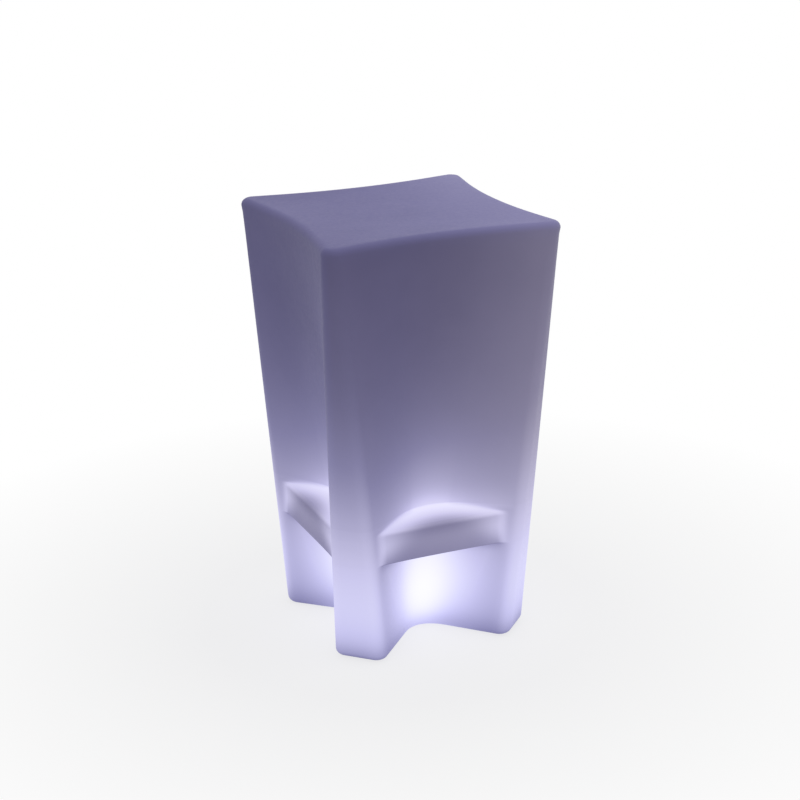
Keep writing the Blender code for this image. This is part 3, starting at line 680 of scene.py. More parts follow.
def all_round(eighth_values):
    """Mirror and repeat the values of an eighth over the whole skin."""
    return np.tile(np.hstack((eighth_values, eighth_values[:, -2:0:-1])), (1, 4))


ledge_fill = groove_and_fill(eighth_skin)[1]
print("the ledge stands out up to", round(ledge_fill.max(), 4), "from the groove")

# %% What the wall lets through
end_face_share = 0.72
seat_share = 0.34
nose_share = 0.46
nose_width = 0.0045
lip_share = 0.85
lip_fade = 0.03
floor_share = 0.22
valley_floor_share = 0.45
floor_fade = 0.03


def wall_passes(points):
    """Share of the direct light that the wall passes: less where the moulding is thicker.

    That is at the ends of the legs and in the seat, which fades in over the round seat edge.
    """
    ends = np.full(len(end_face_shares), end_face_share)
    arc = np.linspace(end_face_share, 1, corner_columns)
    columns = np.concatenate((ends, arc, np.ones(eighth_columns - len(ends) - len(arc))))
    seat = on_seat(points)
    return between(columns, 1, seat) * between(1, seat_share, seat)


def corner_dims(points, groove, fill):
    """Share of light left at the folded nose of the ledge, under its lip and close to the floor.

    Each is 1 at a distance and its own share up close: over e^(-(dz / w)^2) at the nose, and
    e^(-dz / f) under the lip and over the floor, for a height difference dz.
    """
    height = points[..., 2]
    above_nose = (height - lip_height - band_height) / nose_width
    nose = np.exp(-above_nose ** 2) * np.clip(fill / fold_softness, 0, 1)
    lip = np.exp((height - lip_height) / lip_fade) * in_groove(points) * (height < lip_height)
    floor = np.exp(-height / floor_fade)
    floor_left = between(floor_share, valley_floor_share, groove / floor_groove_depth)
    return between(1, nose_share, nose) * between(1, lip_share, lip) * between(1, floor_left, floor)


passed = wall_passes(eighth_skin)
print("the wall passes", round(passed.min(), 2), "to", round(passed.max(), 2), "of the direct light")

# %% Light that leaves the skin
bounced_everywhere = 0.22
bounced_low = 3.5
bounced_fade_height = 0.21
ledge_bounce = 0.20
band_bounce = 0.80
fill_fade = 0.042
lip_fill_fade = 0.008
fill_fade_power = 1.6


def shell_light(direct_part, points):
    """Light (d w e^(-f / g) + b) c that leaves an eighth of the skin.

    It comes from the direct light d, the share w that the wall passes, the fill f of the ledge and
    its fade g, the bounced light b and the dims c of the corners. The bounced light is
    p + q e^(-z / r), and more in the ledge. The fade is short at the lip, where the ledge hides
    the dome best, and grows with a power of the height on the band.
    """
    height = points[..., 2]
    groove, fill = groove_and_fill(points)
    band_part = np.clip((height - lip_height) / band_height, 0, 1)
    in_ledge = np.clip(fill / fold_softness, 0, 1) * (ledge_bounce + band_bounce * band_part)
    bounced = bounced_everywhere + bounced_low * np.exp(-height / bounced_fade_height) * (1 + in_ledge)
    fade = between(lip_fill_fade, fill_fade, band_part ** fill_fade_power)
    through = direct_part * np.exp(-fill / fade) * wall_passes(points)
    return (through + bounced) * corner_dims(points, groove, fill)


eighth_light = shell_light(direct, eighth_skin)
print("light from", round(eighth_light.min(), 2), "to", round(eighth_light.max(), 2))

# %% Brightness of the whole skin
# Painted light: outside light on the right side of the stool, added to the glow.
side_light = 4.0
side_light_ramp = 0.08
side_light_height = 0.12
tread_spill = 2.5
tread_spill_height = 0.252
tread_spill_reach = 0.012
film_slope = 1.6
film_middle = 12.0
film_white = 0.945
spread_rounds = 6


def spread(values, rounds):
    """Make every value (2 v + the sum of its four neighbours) / 6, a few times over."""
    for _ in range(rounds):
        up = np.vstack((values[1:], values[-1:]))
        down = np.vstack((values[:1], values[:-1]))
        left, right = np.roll(values, 1, axis=1), np.roll(values, -1, axis=1)
        values = (2 * values + up + down + left + right) / 6
    return values


def shell_glow():
    """Brightness b = w s^p / (s^p + m) of the light s on the whole skin.

    Light from outside falls on the right of the stool and is painted into the glow. It shows
    above the ledge and most of all where the tread meets the wall: it adds light in step with x,
    which fades out left of the middle.
    """
    x, height = skin[..., 0], skin[..., 2]
    near_tread = np.exp(-((height - tread_spill_height) / tread_spill_reach) ** 2)
    spill = 1 + tread_spill * near_tread * all_round(in_groove(eighth_skin))
    right = (x + np.sqrt(x ** 2 + side_light_ramp ** 2)) / 2
    side = side_light * right * (1 - np.exp(-height / side_light_height)) * spill
    light = (all_round(eighth_light) + side) ** film_slope
    return spread(film_white * light / (light + film_middle), spread_rounds)


glow = shell_glow()
print("glow from", round(glow.min(), 3), "to", round(glow.max(), 3))

# %% [markdown]
# ## Warm and cool places
#
# The lit plastic isn't one hue, and its tint is painted light. It is cool near the floor and on
# the seat, warmer on the ledges, whose band lies in shade, and warmest high up on the right, where
# white light from outside falls on the stool. Faces turned to the left get a cooler painted shade.
# A map could be painted by hand, but a sum of straight ramps over height, x and the way the skin
# faces needs no image and has no seams. It is kept as a second attribute.

# %% Store the warmth of the skin
cool_near_floor = 0.13
warm_higher_up = 0.47
warm_from_height = 0.20
warm_to_the_right = 0.53
warm_x = (-0.08, 0.17)
warm_heights = (0.17, 0.42)
# Warmer on the ledges: the painted colour of the shade on their band.
warm_ledge = 0.20
warm_ledge_fill = 0.06
# Cooler on faces turned to the left: painted shade, away from the light on the right.
cool_left = 0.3
left_facing = (0.75, 0.95)
cool_left_heights = (0.25, 0.65)
cool_seat = 0.04
warm_seat_right = 0.27


def ramp_between(values, ends):
    """0 below the first of two ends, 1 above the second, and a straight ramp between."""
    return np.clip((values - ends[0]) / (ends[1] - ends[0]), 0, 1)


def shell_warmth():
    """Warmth of the whole skin, from 0 for cool to 1 for warm: a sum of ramps, spread like light."""
    height = skin[..., 2]
    right = ramp_between(skin[..., 0], warm_x)
    sides = between(cool_near_floor, warm_higher_up, ramp_between(height, (0.0, warm_from_height)))
    sides = sides + warm_to_the_right * right * ramp_between(height, warm_heights)
    sides = sides + warm_ledge * all_round(ramp_between(ledge_fill, (0.0, warm_ledge_fill)))
    left = ramp_between(-normals[..., 0], left_facing)
    sides = sides - cool_left * left * ramp_between(height, cool_left_heights)
    seat = cool_seat + warm_seat_right * right ** 2
    return spread(np.clip(between(sides, seat, on_seat(skin)), 0, 1), spread_rounds)


warmth = shell_warmth()
print("warmth from", round(warmth.min(), 3), "to", round(warmth.max(), 3))

# %% [markdown]
# ## Frosted polyethylene
#
# Unlit, the plastic is a milky violet grey in this light. Its mould was sand-blasted, so the skin
# has a very fine grain and a slow waviness, both from noise in the bump. The glow attribute runs
# through a colour ramp, because the lamp looks violet where it is weak and white where it is
# strong, and feeds the emission colour of the Principled shader. The warmth attribute runs
# through a ramp of tints that multiplies both colours. A volume with real scattering would be
# another way, but it would be lost in the export.

# %% Helpers for nodes and materials
shader_name = "Principled BSDF"


def new_node(tree, kind, operation=None, **values):
    """A node, with its operation and the values of its sockets (a _ in a name stands for a space)."""
    node = tree.nodes.new("ShaderNode" + kind)
    if operation:
        node.operation = operation
    for name, value in values.items():
        node.inputs[name.replace("_", " ")].default_value = value
    return node


def new_material(name, roughness, metallic=0.0):
    """Material with one Principled shader, and its node tree to add to."""
    material = bpy.data.materials.new(name)
    material.use_nodes = True
    shader = material.node_tree.nodes[shader_name]
    shader.inputs["Roughness"].default_value = roughness
    shader.inputs["Metallic"].default_value = metallic
    return material, material.node_tree, shader


print("every material starts from a", shader_name)

# %% Helpers for patterns and bump
def noise(tree, scale, detail=2.0, stretch=(1.0, 1.0, 1.0)):
    """Noise on object coordinates, as many features to the metre as the scale says."""
    place = new_node(tree, "TexCoord")
    mapping = new_node(tree, "Mapping", Scale=stretch)
    texture = new_node(tree, "TexNoise", Scale=scale, Detail=detail)
    tree.links.new(place.outputs["Object"], mapping.inputs["Vector"])
    tree.links.new(mapping.outputs["Vector"], texture.inputs["Vector"])
    return texture.outputs["Fac"]


def ramp(tree, source, stops):
    """Colour ramp from (position, colour) stops, driven by a source."""
    node = new_node(tree, "ValToRGB")
    elements = node.color_ramp.elements
    while len(elements) < len(stops):
        elements.new(0.5)
    for element, (position, colour) in zip(elements, stops):
        element.position = position
        element.color = (*colour, 1.0)
    tree.links.new(source, node.inputs["Fac"])
    return node.outputs["Color"]


# Most of a noise lies between these values.
noise_range = (0.3, 0.7)


def map_range(tree, source, low, high, source_range=noise_range):
    """Map a range of a source, by default the middle of a noise, to a range of values."""
    node = new_node(tree, "MapRange", From_Min=source_range[0], From_Max=source_range[1],
                    To_Min=low, To_Max=high)
    tree.links.new(source, node.inputs["Value"])
    return node.outputs["Result"]


def add_bump(tree, shader, height, distance):
    """Bump from a height, on top of any bump the shader already has."""
    bump = new_node(tree, "Bump", Distance=distance, Strength=1.0)
    tree.links.new(height, bump.inputs["Height"])
    if shader.inputs["Normal"].is_linked:
        tree.links.new(shader.inputs["Normal"].links[0].from_socket, bump.inputs["Normal"])
    tree.links.new(bump.outputs["Normal"], shader.inputs["Normal"])


print("noise drives a finish from", noise_range[0], "to", noise_range[1])

# %% Material of the shell
shell_tones = ((0.30, (0.146, 0.132, 0.277)), (0.70, (0.163, 0.148, 0.302)))
shell_patch = 9.0
shell_roughness = (0.46, 0.56)
shell_roughness_patch = 160.0
shell_gloss = 0.1
waviness = 28.0
waviness_detail = 1.0
waviness_depth = 0.0006
blasted_grain = 900.0
blasted_grain_detail = 3.0
blasted_grain_depth = 0.00012
glow_tones = ((0.0, (0.0, 0.0, 0.0)), (0.20, (0.148, 0.145, 0.240)), (0.55, (0.516, 0.505, 0.715)),
              (0.84, (0.83, 0.83, 0.97)), (1.0, (1.0, 1.0, 1.0)))
# Tints of painted light and shade, from cool to warm, for both colours of the shell.
warmth_tints = ((0.0, (0.975, 0.995, 1.053)), (0.35, (1.0, 1.0, 1.0)), (1.0, (1.10, 1.065, 0.89)))


def attribute(tree, name):
    """Value of a mesh attribute."""
    node = new_node(tree, "Attribute")
    node.attribute_name = name
    return node.outputs["Fac"]


def tinted(tree, colour, tint):
    """A colour times a tint."""
    node = new_node(tree, "VectorMath", "MULTIPLY")
    tree.links.new(colour, node.inputs[0])
    tree.links.new(tint, node.inputs[1])
    return node.outputs["Vector"]


def frosted_polyethylene():
    """Milky violet plastic with a blasted grain, lit from inside by the glow attribute.

    Base colour is plastic tone times tint, and emission is glow tone times the same tint. The
    tint is painted light and shade, warm where outside light falls on the right.
    """
    material, tree, shader = new_material("frosted_polyethylene_lit", shell_roughness[0])
    tint = ramp(tree, attribute(tree, "warmth"), warmth_tints)
    plastic = ramp(tree, noise(tree, shell_patch), shell_tones)
    light = ramp(tree, attribute(tree, "glow"), glow_tones)
    tree.links.new(tinted(tree, plastic, tint), shader.inputs["Base Color"])
    tree.links.new(tinted(tree, light, tint), shader.inputs["Emission Color"])
    tree.links.new(map_range(tree, noise(tree, shell_roughness_patch), *shell_roughness),
                   shader.inputs["Roughness"])
    shader.inputs["Emission Strength"].default_value = 1.0
    shader.inputs["Specular IOR Level"].default_value = shell_gloss
    add_bump(tree, shader, noise(tree, waviness, waviness_detail), waviness_depth)
    add_bump(tree, shader, noise(tree, blasted_grain, blasted_grain_detail), blasted_grain_depth)
    return material


print("the glow runs through", len(glow_tones), "tones, the warmth through", len(warmth_tints), "tints")

# %% Build the shell
def build_shell():
    """The shell: its skin, closed by a pole in mid seat, two attributes, and its wall inwards."""
    seat_middle = (0.0, 0.0, stool_height - seat_dish_depth)
    mesh = surface_mesh("glowing_shell", skin, last_pole=seat_middle)
    for name, grid in (("glow", glow), ("warmth", warmth)):
        values = np.append(grid.ravel(), grid[-1].mean())
        mesh.attributes.new(name, "FLOAT", "POINT").data.foreach_set("value", values.astype(np.float32))
    shell = finish_piece(mesh, "stool", ["body_shell"], frosted_polyethylene())
    wall = shell.modifiers.new("wall", "SOLIDIFY")
    wall.thickness = body_wall
    wall.offset = -1.0
    return shell


shell = build_shell()
print("shell faces before its wall:", len(shell.data.polygons))

# %% [markdown]
# ## Small parts as turned shapes
#
# The feet, screws, lamp module, button and socket cover show from below. Each is a profile of
# corners swept round an upright axis. Every corner gets a small fillet, with one more ring on
# either side that keeps the smooth shading flat on flat faces. A Screw modifier could sweep the
# profile, but in numpy the same sweep also makes the hexagon sockets and the threads of the
# screws, and with a straight stretch between its quarters it makes a block with round corners.

# %% Round the corners of a profile
least_step = 1e-6
fillet_steps = 3
hold_share = 0.5
small_fillet = 0.0002
medium_fillet = 0.0003
soft_fillet = 0.0004
wide_fillet = 0.0005


def towards(points, places):
    """Unit vectors from places to points."""
    difference = points - places
    return difference / np.linalg.norm(difference, axis=-1, keepdims=True)


def filleted(corners):
    """Profile through (radius, height, fillet) corners, each rounded by its own fillet.

    Round a corner c, with unit directions a and b to its neighbours and fillet f, the points are
    c + f (a (1 - t)^2 + b t^2) for t from 0 to 1. One more point lies beyond each end of the arc.
    """
    corners = np.array(corners)
    place, fillet = corners[:, None, :2], corners[:, None, 2:]
    t = np.linspace(0, 1, fillet_steps + 1)
    share_back = np.concatenate(([1 + hold_share], (1 - t) ** 2, [0.0]))[:, None]
    share_ahead = np.concatenate(([0.0], t ** 2, [1 + hold_share]))[:, None]
    back = towards(np.roll(place, 1, axis=0), place)
    ahead = towards(np.roll(place, -1, axis=0), place)
    points = (place + fillet * (share_back * back + share_ahead * ahead)).reshape(-1, 2)
    step = np.linalg.norm(points - np.roll(points, 1, axis=0), axis=1)
    return points[step > least_step]


print("a filleted square corner has", len(filleted(((0, 0, 0), (1, 0, 0.1), (1, 1, 0)))) - 2, "points")

# %% Sweep a profile
def swept(profile, columns, middle, straight=(0.0, 0.0)):
    """Grid of a profile turned about an upright axis, with straight half lengths between quarters.

    A column at angle a lies at x = m + s sign(cos a) + r cos a, and likewise for y with the sine.
    """
    angle = (np.arange(columns) + 0.5) * 2 * math.pi / columns
    radius = profile[:, :1]
    x = middle[0] + straight[0] * np.sign(np.cos(angle)) + radius * np.cos(angle)
    y = middle[1] + straight[1] * np.sign(np.sin(angle)) + radius * np.sin(angle)
    return np.stack((x, y, profile[:, 1:] + 0 * x), axis=-1)


def turned(name, corners, columns, middle=(0.0, 0.0), straight=(0.0, 0.0)):
    """Closed mesh of a profile that starts and ends on its axis."""
    profile = filleted(corners)
    points = swept(profile[1:-1], columns, middle, straight)
    poles = [(*middle, profile[0, 1]), (*middle, profile[-1, 1])]
    return surface_mesh(name, points, *poles)


def turned_ring(name, corners, columns, middle=(0.0, 0.0)):
    """Closed mesh of a profile that runs round a hole, so that it meets itself."""
    return surface_mesh(name, swept(filleted(corners), columns, middle), closed=True)


print("3 points swept in 8 columns are a grid of", swept(np.ones((3, 2)), 8, (0.0, 0.0)).shape)

# %% Join and cut meshes
sharp_angle = math.radians(35.0)
hole_columns = 32


def rods(places, radius, low, high, columns=hole_columns):
    """An upright rod at each place, as tools to cut or join with."""
    corners = ((0.0, low, 0.0), (radius, low, 0.0), (radius, high, 0.0), (0.0, high, 0.0))
    return [turned("rod", corners, columns, place) for place in places]


def without_slivers(mesh):
    """Merge the points and drop the slivers that Boolean steps leave where edges nearly meet."""
    work = bmesh.new()
    work.from_mesh(mesh)
    bmesh.ops.remove_doubles(work, verts=work.verts, dist=least_step)
    bmesh.ops.dissolve_degenerate(work, edges=work.edges, dist=least_step)
    work.to_mesh(mesh)
    work.free()


def combined(mesh, tools, operation):
    """The mesh with other meshes cut from it or joined to it, and its sharp edges marked."""
    name = mesh.name
    things = [bpy.data.objects.new(name, each) for each in (mesh, *tools)]
    for thing in things:
        bpy.context.scene.collection.objects.link(thing)
    for tool in things[1:]:
        step = things[0].modifiers.new("step", "BOOLEAN")
        step.operation = operation
        step.solver = "EXACT"
        step.object = tool
    depsgraph = bpy.context.evaluated_depsgraph_get()
    result = bpy.data.meshes.new_from_object(things[0].evaluated_get(depsgraph))
    for thing, each in zip(things, (mesh, *tools)):
        bpy.data.objects.remove(thing)
        bpy.data.meshes.remove(each)
    result.name = name
    without_slivers(result)
    result.shade_smooth()
    result.set_sharp_from_angle(angle=sharp_angle)
    return result


print("edges that turn by more than", round(math.degrees(sharp_angle)), "degrees stay sharp")

# %% [markdown]
# ## Feet
#
# Under each leg a round rubber pad sits in a recess. Its tread has two shallow rings for grip, and
# a deep well in its middle hides the head of its screw. A torus and a cylinder could be joined
# for it, but one profile that runs round the hole and meets itself leaves no seams.

# %% Build a pad
corner_signs = ((1, 1), (-1, 1), (-1, -1), (1, -1))
feet = dict(zip(("back_right", "back_left", "front_left", "front_right"), corner_signs))
foot_end_margin = 0.038
foot_along = floor_half_width - floor_corner_cut / 2 - foot_end_margin / math.sqrt(2)
pad_radius = 0.014
pad_top = 0.0047
pad_edge = 0.0011
pad_bore = 0.0023
pad_well = 0.0046
pad_well_height = 0.003
tread_rings = (0.0071, 0.0109)
tread_ring_width = 0.0009
tread_ring_depth = 0.0005
pad_columns = 72


def pad_mesh(name, place):
    """A rubber pad: flat tread with two rings, round outer edge, well and bore for its screw."""
    corners = [(pad_well, 0.0, small_fillet)]
    for radius in tread_rings:
        outer = radius + tread_ring_width
        corners += [(at, height, small_fillet / 2) for at, height in
                    ((radius, 0.0), (radius, tread_ring_depth), (outer, tread_ring_depth), (outer, 0.0))]
    corners += [(pad_radius, 0.0, pad_edge), (pad_radius, pad_top, small_fillet),
                (pad_bore, pad_top, small_fillet), (pad_bore, pad_well_height, small_fillet),
                (pad_well, pad_well_height, small_fillet)]
    return turned_ring(name, corners, pad_columns, place)


print("feet stand", round(foot_along, 4), "from the middle, both ways")

# %% [markdown]
# ## Screws
#
# Pan head screws hold the pads and the lamp module, and all are put in from below. The socket is a
# hexagon: its radius is that of the corners times cos 30 over cos a, for the angle a from the
# middle of a side. The thread is a radius that waves with height and turns with the angle, which
# makes a true helix. A Screw modifier could wind the thread, but then its head would be a second
# mesh to join on.

# %% Build a screw
foot_screw_seat = 0.0027
foot_head = (0.004, 0.0018)
foot_screw_top = 0.016
module_screw_seat = 0.0211
module_head = (0.0036, 0.0024)
module_screw_top = 0.041
socket_radius_share = 0.45
socket_depth_share = 0.6
shank_radius = 0.002
thread_depth = 0.00026
thread_pitch = 0.0007
rows_a_turn = 6
screw_columns = 36
head_edge = 3 * small_fillet


def screw_mesh(name, place, seat, head, top):
    """A screw that points up: hexagon socket, round head, threaded shank with a blunt end.

    The thread's radius is r - d (1 - cos(2 pi z / p - a)) / 2 at height z and angle a, for a
    pitch p and a depth d that starts from 0 at both ends.
    """
    head_radius, head_height = head
    socket = head_radius * socket_radius_share
    low = seat - head_height
    floor = low + head_height * socket_depth_share
    profile = filleted([(0.0, floor, 0.0), (socket, floor, small_fillet / 2),
                        (socket, low, small_fillet / 2), (head_radius, low, head_edge),
                        (head_radius, seat, small_fillet), (shank_radius, seat, small_fillet),
                        (shank_radius, seat + thread_pitch, 0.0)])[1:]
    turns = int((top - seat - 2 * thread_pitch) / thread_pitch)
    steps = np.arange(turns * rows_a_turn + 1)[:, None]
    height = seat + thread_pitch + steps * thread_pitch / rows_a_turn
    angle = (np.arange(screw_columns) + 0.5) * 2 * math.pi / screw_columns
    ends = np.minimum(height - height[0], height[-1] - height) / thread_pitch
    wave = (1 - np.cos(2 * math.pi * height / thread_pitch - angle)) / 2
    thread = shank_radius - thread_depth * wave * np.clip(ends, 0, 1)
    hexagon = math.cos(math.pi / 6) / np.cos(angle % (math.pi / 3) - math.pi / 6)
    rim = int(np.argmax(profile[:, 0]))
    inside = np.clip((head_radius - profile[:rim, 0]) / (head_radius - socket), 0, 1)
    head_rows = np.repeat(profile[:, :1], screw_columns, axis=1)
    head_rows[:rim] *= 1 - inside[:, None] * (1 - hexagon)
    end_row = np.full((1, screw_columns), shank_radius - thread_depth)
    radius = np.concatenate((head_rows, thread[1:], end_row))
    levels = np.concatenate((profile[:, 1:], height[1:], [[height[-1, 0] + thread_pitch / 2]]))
    points = np.stack((place[0] + radius * np.cos(angle), place[1] + radius * np.sin(angle),
                       levels + 0 * radius), axis=-1)
    return surface_mesh(name, points, (*place, floor), (*place, levels[-1, 0]))


print("a screw has", screw_columns, "columns, and", rows_a_turn, "rows for a turn of its thread")

# %% [markdown]
# ## Lamp module
#
# The cup of the module is a white moulding with a flange, four posts for the opal dome and two
# for the control board. Its holes and posts don't share its axis, so they are Boolean steps on
# the turned cup. They could be left to the plain CAD mesh, but that has 28 sides, which would
# show in the round edge of the flange from below.

# %% Sizes of the cup
cup_bottom = 0.0214
cup_inside = 0.0244
flange_top = 0.0249
cup_rim = 0.0606
flange_radius = 0.052
cup_radius = 0.041
cup_bore = 0.0385
flange_low_edge = 0.0009
flange_top_edge = 0.0007
cup_root = 0.0006
cup_floor_edge = 0.0008
cup_columns = 144
post_columns = 44
hole_overrun = 0.002
post_middle = 0.0229
dome_post_top = 0.060
dome_post_x = 0.0205
dome_post_y = 0.0284
dome_posts = [(x * dome_post_x, y * dome_post_y) for x, y in corner_signs]
dome_post_radius = 0.004
board_post_top = 0.0472
board_posts = ((0.011, 0.0235), (-0.011, -0.0235))
board_post_radius = 0.0025
pilot_radius = 0.00155
pilot_depth = 0.008
module_screw_circle = 0.04725
module_screw_along = module_screw_circle / math.sqrt(2)
module_places = [(x * module_screw_along, y * module_screw_along) for x, y in corner_signs]
module_screw_hole = 0.0023
button_place = (0.0, -0.028)
button_hole = 0.0056
socket_place = (0.0, 0.028)
socket_hole = 0.0043
anchor_place = (0.0, 0.0394)
stud_hole = 0.0021
stud_hole_top = 0.0236
print("cup:", round(2000 * flange_radius), "mm over its flange,",
      round(1000 * (cup_rim - cup_bottom), 1), "mm high")

# %% Build the cup
def housing_mesh():
    """The cup with its flange, posts and holes."""
    cup = turned("lamp_module_cup",
                 ((0.0, cup_bottom, 0.0), (flange_radius, cup_bottom, flange_low_edge),
                  (flange_radius, flange_top, flange_top_edge), (cup_radius, flange_top, cup_root),
                  (cup_radius, cup_rim, wide_fillet), (cup_bore, cup_rim, wide_fillet),
                  (cup_bore, cup_inside, cup_floor_edge), (0.0, cup_inside, 0.0)), cup_columns)
    below, above = cup_bottom - hole_overrun, cup_inside + hole_overrun
    posts, pilots = [], []
    for places, radius, top in ((dome_posts, dome_post_radius, dome_post_top),
                                (board_posts, board_post_radius, board_post_top)):
        posts += rods(places, radius, post_middle, top, post_columns)
        pilots += rods(places, pilot_radius, top - pilot_depth, top + hole_overrun)
    holes = rods(module_places, module_screw_hole, below, flange_top + hole_overrun) + pilots
    holes += rods([button_place], button_hole, below, above)
    holes += rods([socket_place], socket_hole, below, above)
    holes += rods([anchor_place], stud_hole, below, stud_hole_top)
    return combined(combined(cup, posts, "UNION"), holes, "DIFFERENCE")


print("the cup has", len(dome_posts) + len(board_posts), "posts and", len(module_places), "screw holes")

# %% [markdown]
# ## Opal dome
#
# A shallow cap over the diodes spreads their light. Both its skins are quarters of an ellipse, with
# a flange between them that four screws hold. A flattened sphere with a Solidify would come close,
# but its wall would thin out towards the flange.

# %% Build the dome
dome_low = 0.0622
dome_flange_high = 0.0644
dome_bore = 0.0295
dome_bore_rise = 0.0242
dome_rows = 18
dome_columns = 96


def dome_mesh():
    """The opal dome: two quarter ellipses (r cos a, h sin a) for its skins, a flange, four holes."""
    angle = np.linspace(0, math.pi / 2, dome_rows + 1)[1:]
    inner = np.stack((dome_bore * np.sin(angle), dome_low + dome_bore_rise * np.cos(angle)), axis=1)
    outer = np.stack((dome_radius * np.cos(angle), dome_flange_high + dome_rise * np.sin(angle)), axis=1)
    flange = filleted(((dome_bore, dome_low, 0.0), (cup_radius, dome_low, soft_fillet),
                       (cup_radius, dome_flange_high, soft_fillet), (dome_radius, dome_flange_high, 0.0)))
    profile = np.concatenate((inner[:-1], flange, outer[:-1]))
    dome = surface_mesh("opal_dome", swept(profile, dome_columns, (0.0, 0.0)),
                        (0.0, 0.0, dome_low + dome_bore_rise), (0.0, 0.0, dome_flange_high + dome_rise))
    holes = rods(dome_posts, pilot_radius, dome_low - hole_overrun, dome_flange_high + hole_overrun)
    return combined(dome, holes, "DIFFERENCE")


print("the dome's top is", round(dome_flange_high + dome_rise, 4), "above the floor")

# %% [markdown]
# ## Button
#
# A silicone button closes the hole over the push switch. Its face is dished for a fingertip, a
# flange inside keeps it from falling out, and its stem presses the switch. A bevelled cylinder
# would do for the rim, but the dish needs the profile.

# %% Build the button
button_face = 0.0202
button_dish = 0.0004
button_dish_share = 0.55
button_crest_share = 0.8
button_dish_round = 0.0008
button_radius = 0.0052
button_flange_low = 0.0247
button_flange_high = 0.0259
button_flange_radius = 0.0066
button_stem = 0.0024
button_stem_top = 0.0417
button_columns = 64


def button_mesh():
    """The silicone button: shallow dished face, round edge, inner flange and stem."""
    return turned("dished_button",
                  ((0.0, button_face + button_dish, 0.0),
                   (button_radius * button_dish_share, button_face + button_dish, button_dish_round),
                   (button_radius * button_crest_share, button_face, soft_fillet),
                   (button_radius, button_face, wide_fillet),
                   (button_radius, button_flange_low, small_fillet),
                   (button_flange_radius, button_flange_low, small_fillet),
                   (button_flange_radius, button_flange_high, small_fillet),
                   (button_stem, button_flange_high, medium_fillet),
                   (button_stem, button_stem_top, soft_fillet),
                   (0.0, button_stem_top, 0.0)), button_columns, button_place)


print("the button's face is", round((button_face - base_lift) * 1000, 1), "mm up in the recess")

# %% [markdown]
# ## Charging socket and its cover
#
# The socket is a barrel with a bezel, and its pin stands back in its mouth. A rubber cover plugs it.
# The cover hangs on a thin strap, its living hinge, that ends in a small block with a stud pressed
# into the cup. The strap and the block are the same sweep as the round parts, with straight
# stretches between its quarters. Bevelled boxes would serve too, but they'd need a second helper.

# %% Build the socket
bezel_low = 0.0199
bezel_high = 0.0211
bezel_radius = 0.0062
socket_radius = 0.004
socket_top = 0.0383
jack_radius = 0.0028
jack_end = 0.0299
pin_radius = 0.0010
pin_tip = 0.0227
socket_columns = 48


def socket_mesh():
    """The charging socket: bezel, barrel, and the pin that stands back in its mouth."""
    return turned("charge_socket_barrel",
                  ((0.0, pin_tip, 0.0), (pin_radius, pin_tip, medium_fillet),
                   (pin_radius, jack_end, small_fillet), (jack_radius, jack_end, small_fillet),
                   (jack_radius, bezel_low, medium_fillet), (bezel_radius, bezel_low, soft_fillet),
                   (bezel_radius, bezel_high, small_fillet), (socket_radius, bezel_high, small_fillet),
                   (socket_radius, socket_top, soft_fillet), (0.0, socket_top, 0.0)),
                  socket_columns, socket_place)


print("the socket's mouth is", round(2000 * jack_radius, 1), "mm wide")

# %% Sizes of the cover and its anchor
cover_low = 0.0180
cover_high = 0.0196
cover_crown = 0.0003
cover_crown_share = 0.5
cover_rim_share = 0.86
cover_crown_round = 0.001
cover_radius = 0.0072
cover_columns = 64
plug_radius = 0.0024
plug_top = 0.0206
strap_near = 0.0336
strap_far = 0.0360
strap_low = 0.0184
strap_high = 0.0194
strap_round = 0.0007
strap_edge = 0.00015
strap_half_width = 0.0025
strap_columns = 24
anchor_low = 0.0184
anchor_high = 0.0211
anchor_round = 0.0010
anchor_half_width = 0.0030
anchor_half_length = 0.0026
stud_radius = 0.0018
stud_top = 0.0233
print("the strap of the hinge is", round((strap_high - strap_low) * 1000, 1), "mm thick")

# %% Build the cover and its anchor
def block(name, place, half_sizes, corner, levels, edges):
    """A block with round upright corners, between two levels with an edge fillet each."""
    (low, high), (low_edge, high_edge) = levels, edges
    return turned(name, ((0.0, low, 0.0), (corner, low, low_edge), (corner, high, high_edge),
                         (0.0, high, 0.0)), strap_columns, place,
                  (half_sizes[0] - corner, half_sizes[1] - corner))


def cover_mesh():
    """The socket cover: a crowned cap with its plug, and the strap of its living hinge."""
    crown = cover_low + cover_crown
    cap = turned("socket_cap",
                 ((0.0, cover_low, 0.0), (cover_radius * cover_crown_share, cover_low, cover_crown_round),
                  (cover_radius * cover_rim_share, crown, soft_fillet), (cover_radius, crown, soft_fillet),
                  (cover_radius, cover_high, small_fillet), (plug_radius, cover_high, small_fillet),
                  (plug_radius, plug_top, medium_fillet), (0.0, plug_top, 0.0)),
                 cover_columns, socket_place)
    strap = block("cover_strap", (0.0, (strap_near + strap_far) / 2),
                  (strap_half_width, (strap_far - strap_near) / 2), strap_round,
                  (strap_low, strap_high), (strap_edge, strap_edge))
    return combined(cap, (strap,), "UNION")


def anchor_mesh():
    """The block that the strap ends in, with the stud that is pressed into the cup's floor."""
    anchor = block("strap_anchor", anchor_place, (anchor_half_width, anchor_half_length), anchor_round,
                   (anchor_low, anchor_high), (soft_fillet, small_fillet))
    stud = rods([anchor_place], stud_radius, anchor_low + small_fillet, stud_top)
    return combined(anchor, stud, "UNION")


print("the cap is", round(1000 * (cover_radius - bezel_radius), 1), "mm wider than the bezel all round")

# %% [markdown]
# ## Finishes of the small parts
#
# Each finish starts from the same recipe: a colour that drifts between two tones, a roughness that
# drifts with it, and a grain in the bump, stretched along the lines that a lathe or a drawing die
# left. A flat colour with one roughness would be quicker, but it reads as a toy. The recipes
# differ in scale, as the real ones do: plated steel has a far finer grain than a shrunk sleeve.

